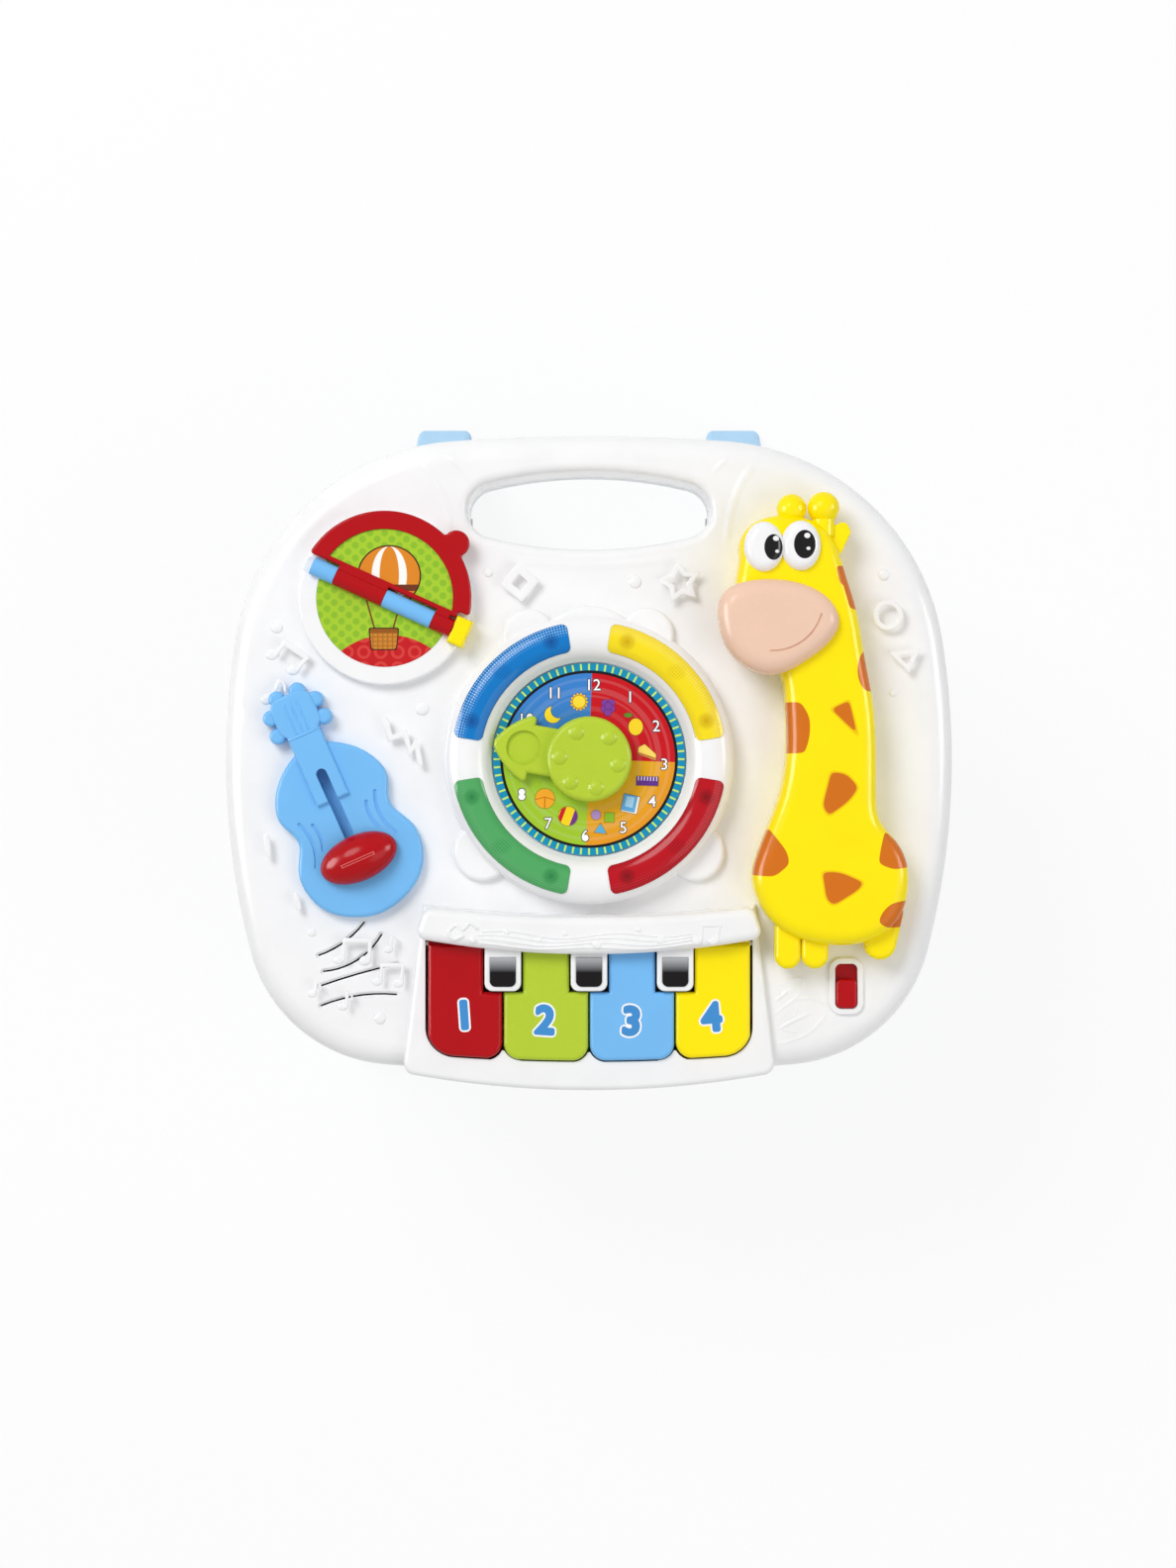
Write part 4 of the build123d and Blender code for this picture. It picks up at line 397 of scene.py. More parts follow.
def graded_black():
    """Black insert with a painted silver sheen, a painted highlight that grows in under the canopy."""
    black = Finish("black_plastic_with_painted_sheen", BLACK, 0.2)
    fade = ((black.y + 105.0) / 7.0).math("MINIMUM", 1.0).math("MAXIMUM", 0.0)
    # Painted highlight: silver laid over the black towards the canopy.
    black.lay(fade, SILVER)
    return black.done()


white = plastic("white_gloss_plastic", WHITE, 0.24)
white_under = plastic("white_satin_plastic", (236, 237, 239), 0.42)
red = plastic("red_plastic", RED, 0.2)
lime = plastic("lime_plastic", LIME, 0.26)
sky = plastic("sky_plastic", SKY, 0.24)
leg_sky = plastic("leg_sky_plastic", PALE_SKY, 0.34)
yellow = plastic("yellow_plastic", YELLOW, 0.24)
peach = plastic("peach_plastic", PEACH, 0.26)
black = plastic("black_plastic", (24, 24, 26), 0.35)
metal = Finish("zinc_steel", SILVER, 0.32, cloud=0.08, Metallic=1.0).done()
rubber = plastic("grey_blue_rubber", (96, 140, 176), 0.7)
silicone = plastic("milky_silicone", (214, 216, 214), 0.6)
board = plastic("green_board", (22, 92, 48), 0.45)
wrap = plastic("cell_wrap", (44, 48, 60), 0.3)
frosted = plastic("frosted_lamp", (236, 236, 226), 0.3)

FINISHES = {
    white: ["top_shell", "keyboard_housing", "keyboard_canopy", "clock_base", "clock_bezel", "page_base",
            "switch_bezel"],
    white_under: ["bottom_cover", "battery_door", "key_bed"],
    red: ["flip_page", "strum_slider", "switch_cap", "key_red"],
    lime: ["leg_brackets", "pointer_knob", "knob_retainer", "key_green"],
    sky: ["guitar_body", "strum_shuttle", "hinge_bar", "key_blue"],
    leg_sky: ["leg_rear_left", "leg_rear_right", "leg_front_left", "leg_front_right"],
    yellow: ["giraffe_back", "page_end_cap", "key_yellow"],
    peach: ["giraffe_muzzle"],
    black: ["speaker", "switch_body"],
    metal: ["battery_door_screw", "cell_contacts", "case_screws", "bracket_screws", "hinge_pins", "key_rod",
            "page_pin"],
    rubber: ["foot_pad_rear_left", "foot_pad_rear_right", "foot_pad_front_left", "foot_pad_front_right"],
    silicone: ["key_domes"],
    board: ["main_board", "lamp_board"],
    wrap: ["battery_cells"],
    frosted: ["lamps"],
    giraffe_coat(): ["giraffe_front"],
    giraffe_gaze(): ["giraffe_eyes"],
    dial_print(): ["dial_plate"],
    balloon_picture("page_picture"): ["page_cards"],
    balloon_picture("base_picture"): ["base_cards"],
    graded_black(): ["sharp_inserts"],
    lamp_lens("blue_lens", (0, 120, 198), (0, 74, 148), 135, 0.8): ["window_blue"],
    lamp_lens("yellow_lens", (247, 222, 24), (206, 166, 0), 45, 0.4): ["window_yellow"],
    lamp_lens("red_lens", (186, 0, 22), (120, 0, 12), -45, 0.06): ["window_red"],
    lamp_lens("green_lens", (80, 168, 98), (36, 128, 66), -135, 0.12): ["window_green"],
}
for finish, names in FINISHES.items():
    for name in names:
        shown = nodes[name]
        if not shown.material_slots:
            shown.data.materials.append(finish)
        for place in shown.material_slots:
            place.material = finish


def piece(name, mesh, finish, body):
    """Puts a finished mesh on the body that carries it."""
    mesh.materials.clear()
    mesh.materials.append(finish)
    made = bpy.data.objects.new(name, mesh)
    bpy.context.scene.collection.objects.link(made)
    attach(made, body)
    return made


class Relief:
    """Raised lines that grow out of a surface, gathered into one mesh."""

    # Cross sections: share of the half width and of the height, None for the foot below the surface
    BAND = [(-1, None), (-1, 0), (-0.84, 0.55), (-0.62, 0.95), (0, 1),
            (0.62, 0.95), (0.84, 0.55), (1, 0), (1, None)]
    SWELL = [(-1, None), (-1, 0), (-0.75, 0.15), (-0.5, 0.5), (-0.25, 0.85), (0, 1),
             (0.25, 0.85), (0.5, 0.5), (0.75, 0.15), (1, 0), (1, None)]
    SUNK = 0.35
    PROBE_HEIGHT = 60
    WIDEST_CORNER = 1.9
    CAP_TURNS = (35, 60, 80, 88)
    SHARP_EDGE = 75

    def __init__(self, surface=None):
        self.points, self.faces, self.tree = [], [], None
        if surface:
            mesh = nodes[surface].data
            corners = [v.co for v in mesh.vertices]
            self.tree = BVHTree.FromPolygons(corners, [p.vertices for p in mesh.polygons])

    def ground(self, x, y):
        """Height of the surface above the panel."""
        if self.tree is None:
            return 0.0
        hit = self.tree.ray_cast(spot(x, y, self.PROBE_HEIGHT), Vector((0, 0, -1)))[0]
        return (hit.z - PANEL.z) / MM if hit else 0.0

    def line(self, path, half, height, closed=False, profile=BAND, fade=0):
        """A ridge along a path. Open ends are round, and rise slowly over as many points as the fade says."""
        path = [Vector(p) for p in path]
        count = len(path)
        rows = []
        for k, here in enumerate(path):
            back = (here - path[k - 1]).normalized() if closed or k else None
            ahead = (path[(k + 1) % count] - here).normalized() if closed or k < count - 1 else None
            back, ahead = back or ahead, ahead or back
            along = (back + ahead).normalized()
            reach = min(1 / max(along.dot(ahead), 0.2), self.WIDEST_CORNER)
            rows.append((here, along, reach, min(1.0, (min(k, count - 1 - k) + 0.2) / fade) if fade else 1.0))
        if not closed:
            for end, sign in ((0, -1), (-1, 1)):
                here, along, _, lift = rows[end]
                out = along * (sign * half)
                caps = [(here + out * math.sin(a), along, math.cos(a), lift * math.cos(a) ** 0.5)
                        for a in (math.radians(d) for d in self.CAP_TURNS)]
                rows = caps[::-1] + rows if end == 0 else rows + caps
        start, width = len(self.points), len(profile)
        for here, along, reach, lift in rows:
            side = Vector((along.y, -along.x)) * (half * reach)
            for across, up in profile:
                x, y = here + side * across
                ground = self.ground(x, y)
                self.points.append(spot(x, y, ground + (-self.SUNK if up is None else up * height * lift)))
        total = len(rows)
        for k in range(total if closed else total - 1):
            near, far = start + k * width, start + (k + 1) % total * width
            for j in range(width):
                nxt = (j + 1) % width
                self.faces.append((near + j, near + nxt, far + nxt, far + j))
        if not closed:
            self.faces.append(tuple(start + j for j in range(width))[::-1])
            self.faces.append(tuple(start + (total - 1) * width + j for j in range(width)))

    def mesh(self, name):
        made = bpy.data.meshes.new(name)
        made.from_pydata(self.points, [], self.faces)
        made.shade_smooth()
        made.set_sharp_from_angle(angle=math.radians(self.SHARP_EDGE))
        return made


def smooth(points, steps=8):
    """A soft curve through the points."""
    last = len(points) - 1
    path = []
    for k in range(last):
        a, b, c, d = (Vector(points[min(max(k + j, 0), last)]) for j in (-1, 0, 1, 2))
        for s in range(steps):
            t = s / steps
            path.append(0.5 * (2 * b + (c - a) * t + (2 * a - 5 * b + 4 * c - d) * t * t
                               + (3 * b - a - 3 * c + d) * t ** 3))
    path.append(Vector(points[-1]))
    return path


def ring(x, y, radius, steps=48):
    return [(x + radius * math.cos(2 * math.pi * k / steps), y + radius * math.sin(2 * math.pi * k / steps))
            for k in range(steps)]


def star(x, y, outer, inner, turn):
    return [(x + r * math.cos(math.radians(turn + 36 * k)), y + r * math.sin(math.radians(turn + 36 * k)))
            for k, r in enumerate([outer, inner] * 5)]


# Notes raised on the panel: heads, then the tops of their stems
PANEL_NOTES = [
    ([(-157.3, 52.2), (-146.8, 44.7)], [(-150.8, 57.6), (-139.8, 50.3)], 3.6),
    ([(-160.0, 29.9)], [(-153.4, 39.0)], 3.4),
    ([(-124.0, -99.3), (-111.2, -99.9)], [(-121.0, -89.8), (-108.2, -89.8)], 3.1),
    ([(-99.6, -94.4)], [(-97.6, -87.6)], 2.5),
    ([(-105.1, -110.3), (-94.7, -111.2)], [(-102.6, -102.0), (-92.2, -102.0)], 2.7),
    ([(-122.1, -122.6)], [(-119.6, -115.0)], 2.7),
    ([(-137.4, -116.4)], [(-135.0, -110.2)], 2.4),
]
CANOPY_NOTES = [([(53.0, -89.2), (61.2, -89.2)], [(55.6, -81.4), (64.2, -81.4)], 2.6)]
# Round domes: place and radius
PANEL_DOTS = [(-50, 92.9, 2.4), (22.9, 88.2, 3.3), (146.4, 91.7, 2.9), (151, 33.1, 2.0), (-155, 65.6, 3.0),
              (-82.8, 25.2, 3.5), (-137.7, -85.9, 2.2), (-103.9, -128.6, 3.0)]
CANOPY_DOTS = [(-40.5, -84.8, 1.7), (-24.3, -88.6, 1.6), (-11.8, -85.6, 1.4), (3.8, -91.0, 2.3),
               (24.4, -83.6, 1.4), (35.0, -88.8, 2.1), (-57.0, -88.6, 1.8)]
LINE_HEIGHT = 0.38
# Height of a dome as a share of its radius
DOME_SHARE = 0.42
# A note's head, stem, beam and flag, as shares of its size
HEAD_WIDTH, HEAD_HEIGHT, HEAD_TURN = 0.78, 0.36, 18
STEM_SHIFT, STEM_HALF, BEAM_HALF, FLAG_HALF = 0.72, 0.3, 0.42, 0.22


def notes_into(relief, notes):
    """Stems, beams and flags. The heads are domes."""
    for heads, tops, size in notes:
        for head, top in zip(heads, tops):
            foot = (head[0] + STEM_SHIFT * size * (1 if top[0] > head[0] else -1), head[1])
            relief.line([foot, top], STEM_HALF * size, LINE_HEIGHT)
        if len(tops) > 1:
            relief.line(tops, BEAM_HALF * size, LINE_HEIGHT)
        else:
            x, y = tops[0]
            flag = [(x, y), (x + 0.7 * size, y - 0.5 * size), (x + 0.9 * size, y - 1.5 * size)]
            relief.line(smooth(flag), FLAG_HALF * size, LINE_HEIGHT)


def panel_relief():
    """Notes, square, star, ring, triangle, zigzag and two dashes."""
    relief = Relief()
    notes_into(relief, PANEL_NOTES)
    relief.line([(-41.3, 86.8), (-33.6, 80.5), (-27.3, 88.2), (-35.0, 94.5)], 2.0, LINE_HEIGHT, closed=True)
    relief.line(star(45.2, 87.5, 8.6, 4.6, 100), 1.4, LINE_HEIGHT, closed=True)
    relief.line(ring(148.1, 71.3, 6.2), 1.4, LINE_HEIGHT, closed=True)
    relief.line([(150.9, 52.1), (158.1, 44.4), (162.3, 53.6)], 1.25, LINE_HEIGHT, closed=True)
    zigzag = [(-100.8, 19.5), (-98.4, 10.4), (-91.1, 12.8), (-88.6, 3.7), (-85.6, 8.0), (-83.7, -1.8)]
    relief.line(zigzag, 1.45, LINE_HEIGHT)
    relief.line([(-159.6, -38.5), (-158.6, -47.5)], 1.4, LINE_HEIGHT)
    relief.line([(-145.0, -67.5), (-143.8, -73.6)], 1.4, LINE_HEIGHT)
    return relief.mesh("panel_relief")


# Leaves beside the keyboard: outline, middle vein and side veins of each
LEAVES = [
    ([(93.0, -113.4), (99.0, -110.0), (105.4, -109.0), (106.1, -113.1), (102.8, -118.3), (96.6, -123.2),
      (92.4, -126.6)],
     [(92.6, -120.2), (96.4, -117.0), (100.2, -113.7)],
     [[(94.6, -113.6), (94.4, -117.4)]]),
    ([(101.2, -119.5), (110.4, -118.7), (117.4, -121.6), (116.6, -128.2), (108.7, -136.2), (99.6, -140.0),
      (93.4, -141.4)],
     [(93.0, -134.4), (102.0, -129.8), (111.0, -125.4)],
     [[(96.6, -125.8), (94.4, -132.0)], [(103.5, -122.9), (102.2, -127.8)],
      [(97.2, -134.6), (103.1, -135.6)]]),
]


def leaf_relief():
    """Soft leaves with a thick middle vein and thin side veins."""
    relief = Relief("top_shell")
    for outline, middle, twigs in LEAVES:
        relief.line(smooth(outline), 1.3, 0.34, profile=Relief.SWELL, fade=4)
        relief.line(smooth(middle), 1.2, 0.45, profile=Relief.SWELL, fade=4)
        for twig in twigs:
            relief.line(twig, 0.7, 0.22, profile=Relief.SWELL)
    return relief.mesh("leaf_relief")


STAVE_LINES = 4
STAVE_PLACE, STAVE_PITCH = -84.2, 2.1
STAVE_SAG, STAVE_HALF = 2.6, 60.0
WAVE_HEIGHT, WAVE_LENGTH = 1.3, 8.5


def canopy_relief():
    """A pair of notes, wavy stave lines that sag in the middle, and a curl at their start."""
    relief = Relief("keyboard_canopy")
    notes_into(relief, CANOPY_NOTES)
    for k in range(STAVE_LINES):
        level = STAVE_PLACE - STAVE_PITCH * k
        wave = WAVE_HEIGHT - 0.2 * k
        path = []
        for x in range(-52 - 2 * (k % 2), 51, 2):
            sagged = level - STAVE_SAG * (1 - (x / STAVE_HALF) ** 2)
            path.append((x, sagged + wave * math.sin(x / WAVE_LENGTH + 0.5 * k)))
        relief.line(path, 0.6, 0.38)
    curl = [(-62, -86.8), (-66.4, -88.6), (-68.8, -84.8), (-65.6, -81.6), (-62.0, -83.6), (-58.4, -80.4),
            (-55.0, -83.0)]
    relief.line(smooth(curl), 0.9, 0.7)
    return relief.mesh("canopy_relief")


def handle_ribs():
    """Soft swells where the carrying bar grows out of the panel, and the lip in front of its hole."""
    relief = Relief("top_shell")
    for side in (1, -1):
        inner = [(side * x, y) for x, y in ((69.5, 151.0), (67.6, 148.8), (63.6, 144.6), (60.5, 141.5))]
        outer = [(side * x, y) for x, y in ((82.0, 147.0), (80.0, 144.0), (74.0, 134.0), (70.4, 123.0),
                                            (68.6, 112.0), (67.6, 106.0))]
        relief.line(smooth(inner), 2.0, 0.4, profile=Relief.SWELL, fade=9)
        relief.line(smooth(outer), 3.0, 0.55, profile=Relief.SWELL, fade=10)
    lip = [(x, 96.0 + 0.00235 * x * x) for x in range(-48, 49, 2)]
    relief.line(lip, 3.2, 0.4, profile=Relief.SWELL, fade=10)
    return relief.mesh("handle_ribs")


GUITAR_PLACE = (-118.3, -38.1)
GUITAR_TILT = math.radians(24)


def on_guitar(across, along):
    """A place on the guitar, from its middle line and its waist."""
    c, s = math.cos(GUITAR_TILT), math.sin(GUITAR_TILT)
    return GUITAR_PLACE[0] + across * c - along * s, GUITAR_PLACE[1] + across * s + along * c


def guitar_strings():
    """Three strings on the neck and the bar below them."""
    relief = Relief("guitar_body")
    for across in (-3.2, 0.0, 3.2):
        relief.line([on_guitar(across, y) for y in range(57, 73, 3)], 0.5, 0.4)
    relief.line([on_guitar(x, 55.2) for x in (-8, -4, 0, 4, 8)], 0.7, 0.5)
    return relief.mesh("guitar_strings")


def slider_mark():
    """A thin pale line round a narrow bar on top of the slider, a painted highlight where a groove's edge
    would catch the light.
    """
    relief = Relief("strum_slider")
    ends = [(-8.6, -13.0), (8.6, -13.0), (8.6, -11.8), (-8.6, -11.8)]
    edge = []
    for (ax, ay), (bx, by) in zip(ends, ends[1:] + ends[:1]):
        edge += [on_guitar(ax + (bx - ax) * k / 8, ay + (by - ay) * k / 8) for k in range(8)]
    relief.line(edge, 0.16, 0.1, closed=True)
    return relief.mesh("slider_mark")


def new_tree(name, sizes):
    """A Geometry Nodes tree with named number inputs, its group input and its group output."""
    tree = bpy.data.node_groups.new(name, "GeometryNodeTree")
    tree.interface.new_socket("Geometry", in_out="INPUT", socket_type="NodeSocketGeometry")
    for label, kind in sizes:
        tree.interface.new_socket(label, in_out="INPUT", socket_type=kind)
    tree.interface.new_socket("Geometry", in_out="OUTPUT", socket_type="NodeSocketGeometry")
    return tree, tree.nodes.new("NodeGroupInput"), tree.nodes.new("NodeGroupOutput")


def step(tree, kind, links=None, **values):
    """One node of a tree. Links give sockets by the input's name, values give plain settings."""
    node = tree.nodes.new(kind)
    for key, value in values.items():
        setattr(node, key, value)
    for key, source in (links or {}).items():
        if hasattr(source, "links"):
            tree.links.new(source, node.inputs[key])
        else:
            node.inputs[key].default_value = source
    return node


def grown(name, tree, sizes, start, finish, body):
    """Runs a tree on a starting mesh and keeps the result as a plain mesh on its body."""
    seed = bpy.data.objects.new(name + "_seed", start)
    bpy.context.scene.collection.objects.link(seed)
    growth = seed.modifiers.new(name, "NODES")
    growth.node_group = tree
    for socket in tree.interface.items_tree:
        if socket.in_out == "INPUT" and socket.name in sizes:
            growth[socket.identifier] = sizes[socket.name]
    view = bpy.context.evaluated_depsgraph_get()
    mesh = bpy.data.meshes.new_from_object(seed.evaluated_get(view))
    mesh.name = name
    seed.modifiers.remove(growth)
    bpy.data.objects.remove(seed)
    return piece(name, mesh, finish, body)


def finished(tree, shapes, finish, end):
    """Makes the copies real, gives them their finish and hands them to the tree's output."""
    real = step(tree, "GeometryNodeRealizeInstances", {"Geometry": shapes})
    dressed = step(tree, "GeometryNodeSetMaterial", {"Geometry": real.outputs[0], "Material": finish})
    tree.links.new(dressed.outputs[0], end.inputs[0])
    return tree


def dome_tree(finish):
    """Flattened balls on points that carry their size and turn."""
    tree, start, end = new_tree("raised_domes", [("Segments", "NodeSocketInt"), ("Rings", "NodeSocketInt")])
    ball = step(tree, "GeometryNodeMeshUVSphere",
                {"Segments": start.outputs["Segments"], "Rings": start.outputs["Rings"], "Radius": 1.0})
    soft = step(tree, "GeometryNodeSetShadeSmooth", {"Geometry": ball.outputs["Mesh"]})
    size = step(tree, "GeometryNodeInputNamedAttribute", {"Name": "size"}, data_type="FLOAT_VECTOR")
    turn = step(tree, "GeometryNodeInputNamedAttribute", {"Name": "turn"}, data_type="FLOAT_VECTOR")
    spread = step(tree, "GeometryNodeInstanceOnPoints",
                  {"Points": start.outputs["Geometry"], "Instance": soft.outputs[0],
                   "Rotation": turn.outputs[0], "Scale": size.outputs[0]})
    return finished(tree, spread.outputs[0], finish, end)


def dome_points(name, domes):
    """A mesh of loose points, each with the half sizes and turn of its dome."""
    mesh = bpy.data.meshes.new(name)
    mesh.from_pydata([place for place, _, _ in domes], [], [])
    for label, pick in (("size", 1), ("turn", 2)):
        layer = mesh.attributes.new(label, "FLOAT_VECTOR", "POINT")
        for k, dome in enumerate(domes):
            layer.data[k].vector = dome[pick]
    return mesh


def dots_on(surface, dots, notes):
    """Domes for the dots and for the heads of the notes."""
    relief = Relief(surface)
    domes = [(spot(x, y, relief.ground(x, y)), Vector((r, r, DOME_SHARE * r)) * MM, Vector())
             for x, y, r in dots]
    for heads, _, size in notes:
        for x, y in heads:
            halves = Vector((size, HEAD_WIDTH * size, HEAD_HEIGHT * size)) * MM
            domes.append((spot(x, y, relief.ground(x, y)), halves, Vector((0, 0, math.radians(HEAD_TURN)))))
    return domes


def tick_tree(finish):
    """Thin bars standing round a ring, like the minutes of a clock."""
    tree, start, end = new_tree("minute_ring", [("Count", "NodeSocketInt"), ("Radius", "NodeSocketFloat"),
                                                ("Bar", "NodeSocketVector"), ("Height", "NodeSocketFloat")])
    circle = step(tree, "GeometryNodeMeshCircle",
                  {"Vertices": start.outputs["Count"], "Radius": start.outputs["Radius"]})
    bar = step(tree, "GeometryNodeMeshCube", {"Size": start.outputs["Bar"]})
    away = step(tree, "GeometryNodeInputPosition")
    turn = step(tree, "FunctionNodeAlignRotationToVector", {"Vector": away.outputs[0]}, axis="X")
    spread = step(tree, "GeometryNodeInstanceOnPoints",
                  {"Points": circle.outputs[0], "Instance": bar.outputs[0], "Rotation": turn.outputs[0]})
    lift = step(tree, "ShaderNodeCombineXYZ", {"X": PANEL.x, "Y": PANEL.y, "Z": start.outputs["Height"]})
    placed = step(tree, "GeometryNodeTransform",
                  {"Geometry": spread.outputs[0], "Translation": lift.outputs[0]})
    return finished(tree, placed.outputs[0], finish, end)


def rib_tree(finish):
    """A row of round ribs side by side, for a thumb to push on."""
    tree, start, end = new_tree("grip_ribs", [("Count", "NodeSocketInt"), ("Pitch", "NodeSocketFloat"),
                                              ("Length", "NodeSocketFloat"), ("Radius", "NodeSocketFloat"),
                                              ("Place", "NodeSocketVector")])
    reach = step(tree, "ShaderNodeCombineXYZ", {"Y": start.outputs["Length"]})
    spine = step(tree, "GeometryNodeCurvePrimitiveLine", {"End": reach.outputs[0]})
    outline = step(tree, "GeometryNodeCurvePrimitiveCircle",
                   {"Resolution": 12, "Radius": start.outputs["Radius"]})
    rib = step(tree, "GeometryNodeCurveToMesh",
               {"Curve": spine.outputs[0], "Profile Curve": outline.outputs[0], "Fill Caps": True})
    apart = step(tree, "ShaderNodeCombineXYZ", {"X": start.outputs["Pitch"]})
    row = step(tree, "GeometryNodeMeshLine",
               {"Count": start.outputs["Count"], "Start Location": start.outputs["Place"],
                "Offset": apart.outputs[0]})
    spread = step(tree, "GeometryNodeInstanceOnPoints",
                  {"Points": row.outputs[0], "Instance": rib.outputs[0]})
    return finished(tree, spread.outputs[0], finish, end)


# Joining a number's copies keeps the triangles inside them, and points this near to each other become one
INSIDE_ONLY = 1
SAME_POINT = 1e-4


def lettering(marks, size, spread, copies=20):
    """Flat numbers as one sheet. A mark is a text, place and turn. Copies round a spread make it fat."""
    points, faces = [], []
    shifts = [Vector((0, 0))]
    shifts += [Vector((spread * math.cos(a), spread * math.sin(a))) * MM
               for a in (2 * math.pi * k / copies for k in range(copies))]
    for text, place, turn in marks:
        drawn = bpy.data.curves.new("number", "FONT")
        drawn.body, drawn.size = text, size * MM
        drawn.align_x, drawn.align_y, drawn.resolution_u = "CENTER", "CENTER", 4
        holder = bpy.data.objects.new("number", drawn)
        bpy.context.scene.collection.objects.link(holder)
        view = bpy.context.evaluated_depsgraph_get()
        flat = bpy.data.meshes.new_from_object(holder.evaluated_get(view))
        bpy.data.objects.remove(holder)
        many = [v.co.xy + shift for shift in shifts for v in flat.vertices]
        starts = [k * len(flat.vertices) for k in range(len(shifts))]
        plates = [tuple(first + v for v in p.vertices) for first in starts for p in flat.polygons]
        bpy.data.meshes.remove(flat)
        joined = delaunay_2d_cdt([v / MM for v in many], [], plates, INSIDE_ONLY, SAME_POINT)
        lay = Matrix.Translation(place) @ Matrix.Rotation(math.radians(turn), 4, "Z") @ Matrix.Scale(MM, 4)
        faces += [tuple(len(points) + v for v in face) for face in joined[2]]
        points += [lay @ v.to_3d() for v in joined[0]]
    made = bpy.data.meshes.new("lettering")
    made.from_pydata(points, [], faces)
    return made


# Side of a rubber dome: shares of its radius and of its height
DOME_SIDE = [(1.0, 0.0), (1.0, 0.1), (0.92, 0.17), (0.6, 0.84), (0.52, 0.96), (0.42, 1.0)]
# Sides round a rubber dome, and the angle above which its edges stay sharp
DOME_SIDES = 32
DOME_SHARP_EDGE = 40


def key_dome(foot, radius, height):
    """A rubber dome with a flat foot, a sloping side and a round shoulder."""
    points = [foot, foot + Vector((0, 0, height))]
    for out, up in DOME_SIDE:
        points += [foot + Vector((radius * out * math.cos(a), radius * out * math.sin(a), height * up))
                   for a in (2 * math.pi * k / DOME_SIDES for k in range(DOME_SIDES))]
    rows = [2 + DOME_SIDES * k for k in range(len(DOME_SIDE))]
    faces = []
    for k in range(DOME_SIDES):
        nxt = (k + 1) % DOME_SIDES
        faces += [(0, rows[0] + nxt, rows[0] + k), (1, rows[-1] + k, rows[-1] + nxt)]
        faces += [(low + k, low + nxt, high + nxt, high + k) for low, high in zip(rows, rows[1:])]
    made = bpy.data.meshes.new("key_dome")
    made.from_pydata(points, [], faces)
    made.shade_smooth()
    made.set_sharp_from_angle(angle=math.radians(DOME_SHARP_EDGE))
    return made


# Thickness of a print
PRINT = 0.06
KEY_MIDDLES = {"red_key": -61.25, "green_key": -21.25, "blue_key": 21.25, "yellow_key": 61.25}
# Numbers on the keys: text, place and turn
KEY_NUMBERS = {"red_key": ("1", -61.6, -127.0, 4), "green_key": ("2", -21.8, -129.5, -4),
               "blue_key": ("3", 20.9, -129.9, -3), "yellow_key": ("4", 60.6, -128.0, 5)}
# Size of the text, spread of its outline and of the number itself
KEY_TEXT, KEY_OUTLINE, KEY_BOLD = 19.0, 2.0, 1.1
HOUR_TEXT, HOUR_OUTLINE, HOUR_BOLD = 7.9, 0.42, 0.05
# The dial's numbers stand round a ring, a little turned and a little low
HOUR_RING, NOON_TURN, HOUR_DROP = 37.3, 87, 0.8
# Minute ticks round the dial
TICKS, TICK_RING = 72, 45.6
TICK_LENGTH, TICK_WIDTH = 3.2, 0.9
# Ribs on the battery door
RIBS, RIB_PITCH, RIB_LENGTH, RIB_RADIUS, RIB_INSET = 6, 3.2, 24, 0.8, 5

# Painted highlight: a pale red for the line round the slider's groove.
painted_highlight_red = plastic("painted_highlight_red_plastic", (226, 128, 124), 0.3)
ink_white = plastic("white_ink", (250, 250, 250), 0.35)
ink_dark = plastic("dark_ink", (44, 30, 52), 0.35)
ink_blue = plastic("blue_ink", NUMBER_BLUE, 0.35)
ink_lime = plastic("lime_ink", (206, 236, 104), 0.35)

piece("panel_relief", panel_relief(), white, "table")
piece("leaf_relief", leaf_relief(), white, "table")
piece("canopy_relief", canopy_relief(), white, "table")
piece("handle_ribs", handle_ribs(), white, "table")
piece("guitar_strings", guitar_strings(), sky, "table")
piece("slider_mark", slider_mark(), painted_highlight_red, "strummer")
domes = dome_tree(white)
for name, surface, dots, notes in (("panel_domes", "top_shell", PANEL_DOTS, PANEL_NOTES),
                                   ("canopy_domes", "keyboard_canopy", CANOPY_DOTS, CANOPY_NOTES)):
    start = dome_points(name, dots_on(surface, dots, notes))
    grown(name, domes, {"Segments": 24, "Rings": 12}, start, white, "table")

domes_low, domes_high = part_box("key_domes")
dome_radius = (domes_high.y - domes_low.y) / 2
for body, x in KEY_MIDDLES.items():
    foot = Vector((spot(x, 0).x, (domes_low.y + domes_high.y) / 2, domes_low.z))
    shape = key_dome(foot, dome_radius, domes_high.z - domes_low.z)
    dome = piece(body + "_dome", shape, silicone, "table")
    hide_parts("key_domes")
    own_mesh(dome)

door_low, door_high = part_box("battery_door")
door_middle = (door_low.y + door_high.y) / 2
ribs = {"Count": RIBS, "Pitch": RIB_PITCH * MM, "Length": RIB_LENGTH * MM, "Radius": RIB_RADIUS * MM,
        "Place": Vector((door_low.x + RIB_INSET * MM, door_middle - RIB_LENGTH / 2 * MM, door_low.z))}
start = bpy.data.meshes.new("ribs")
grown("door_ribs", rib_tree(white_under), ribs, start, white_under, "table")

minutes = {"Count": TICKS, "Radius": TICK_RING * MM, "Bar": Vector((TICK_LENGTH, TICK_WIDTH, PRINT)) * MM,
           "Height": dial_high.z + PRINT / 2 * MM}
start = bpy.data.meshes.new("ticks")
grown("minute_ticks", tick_tree(ink_lime), minutes, start, ink_lime, "table")

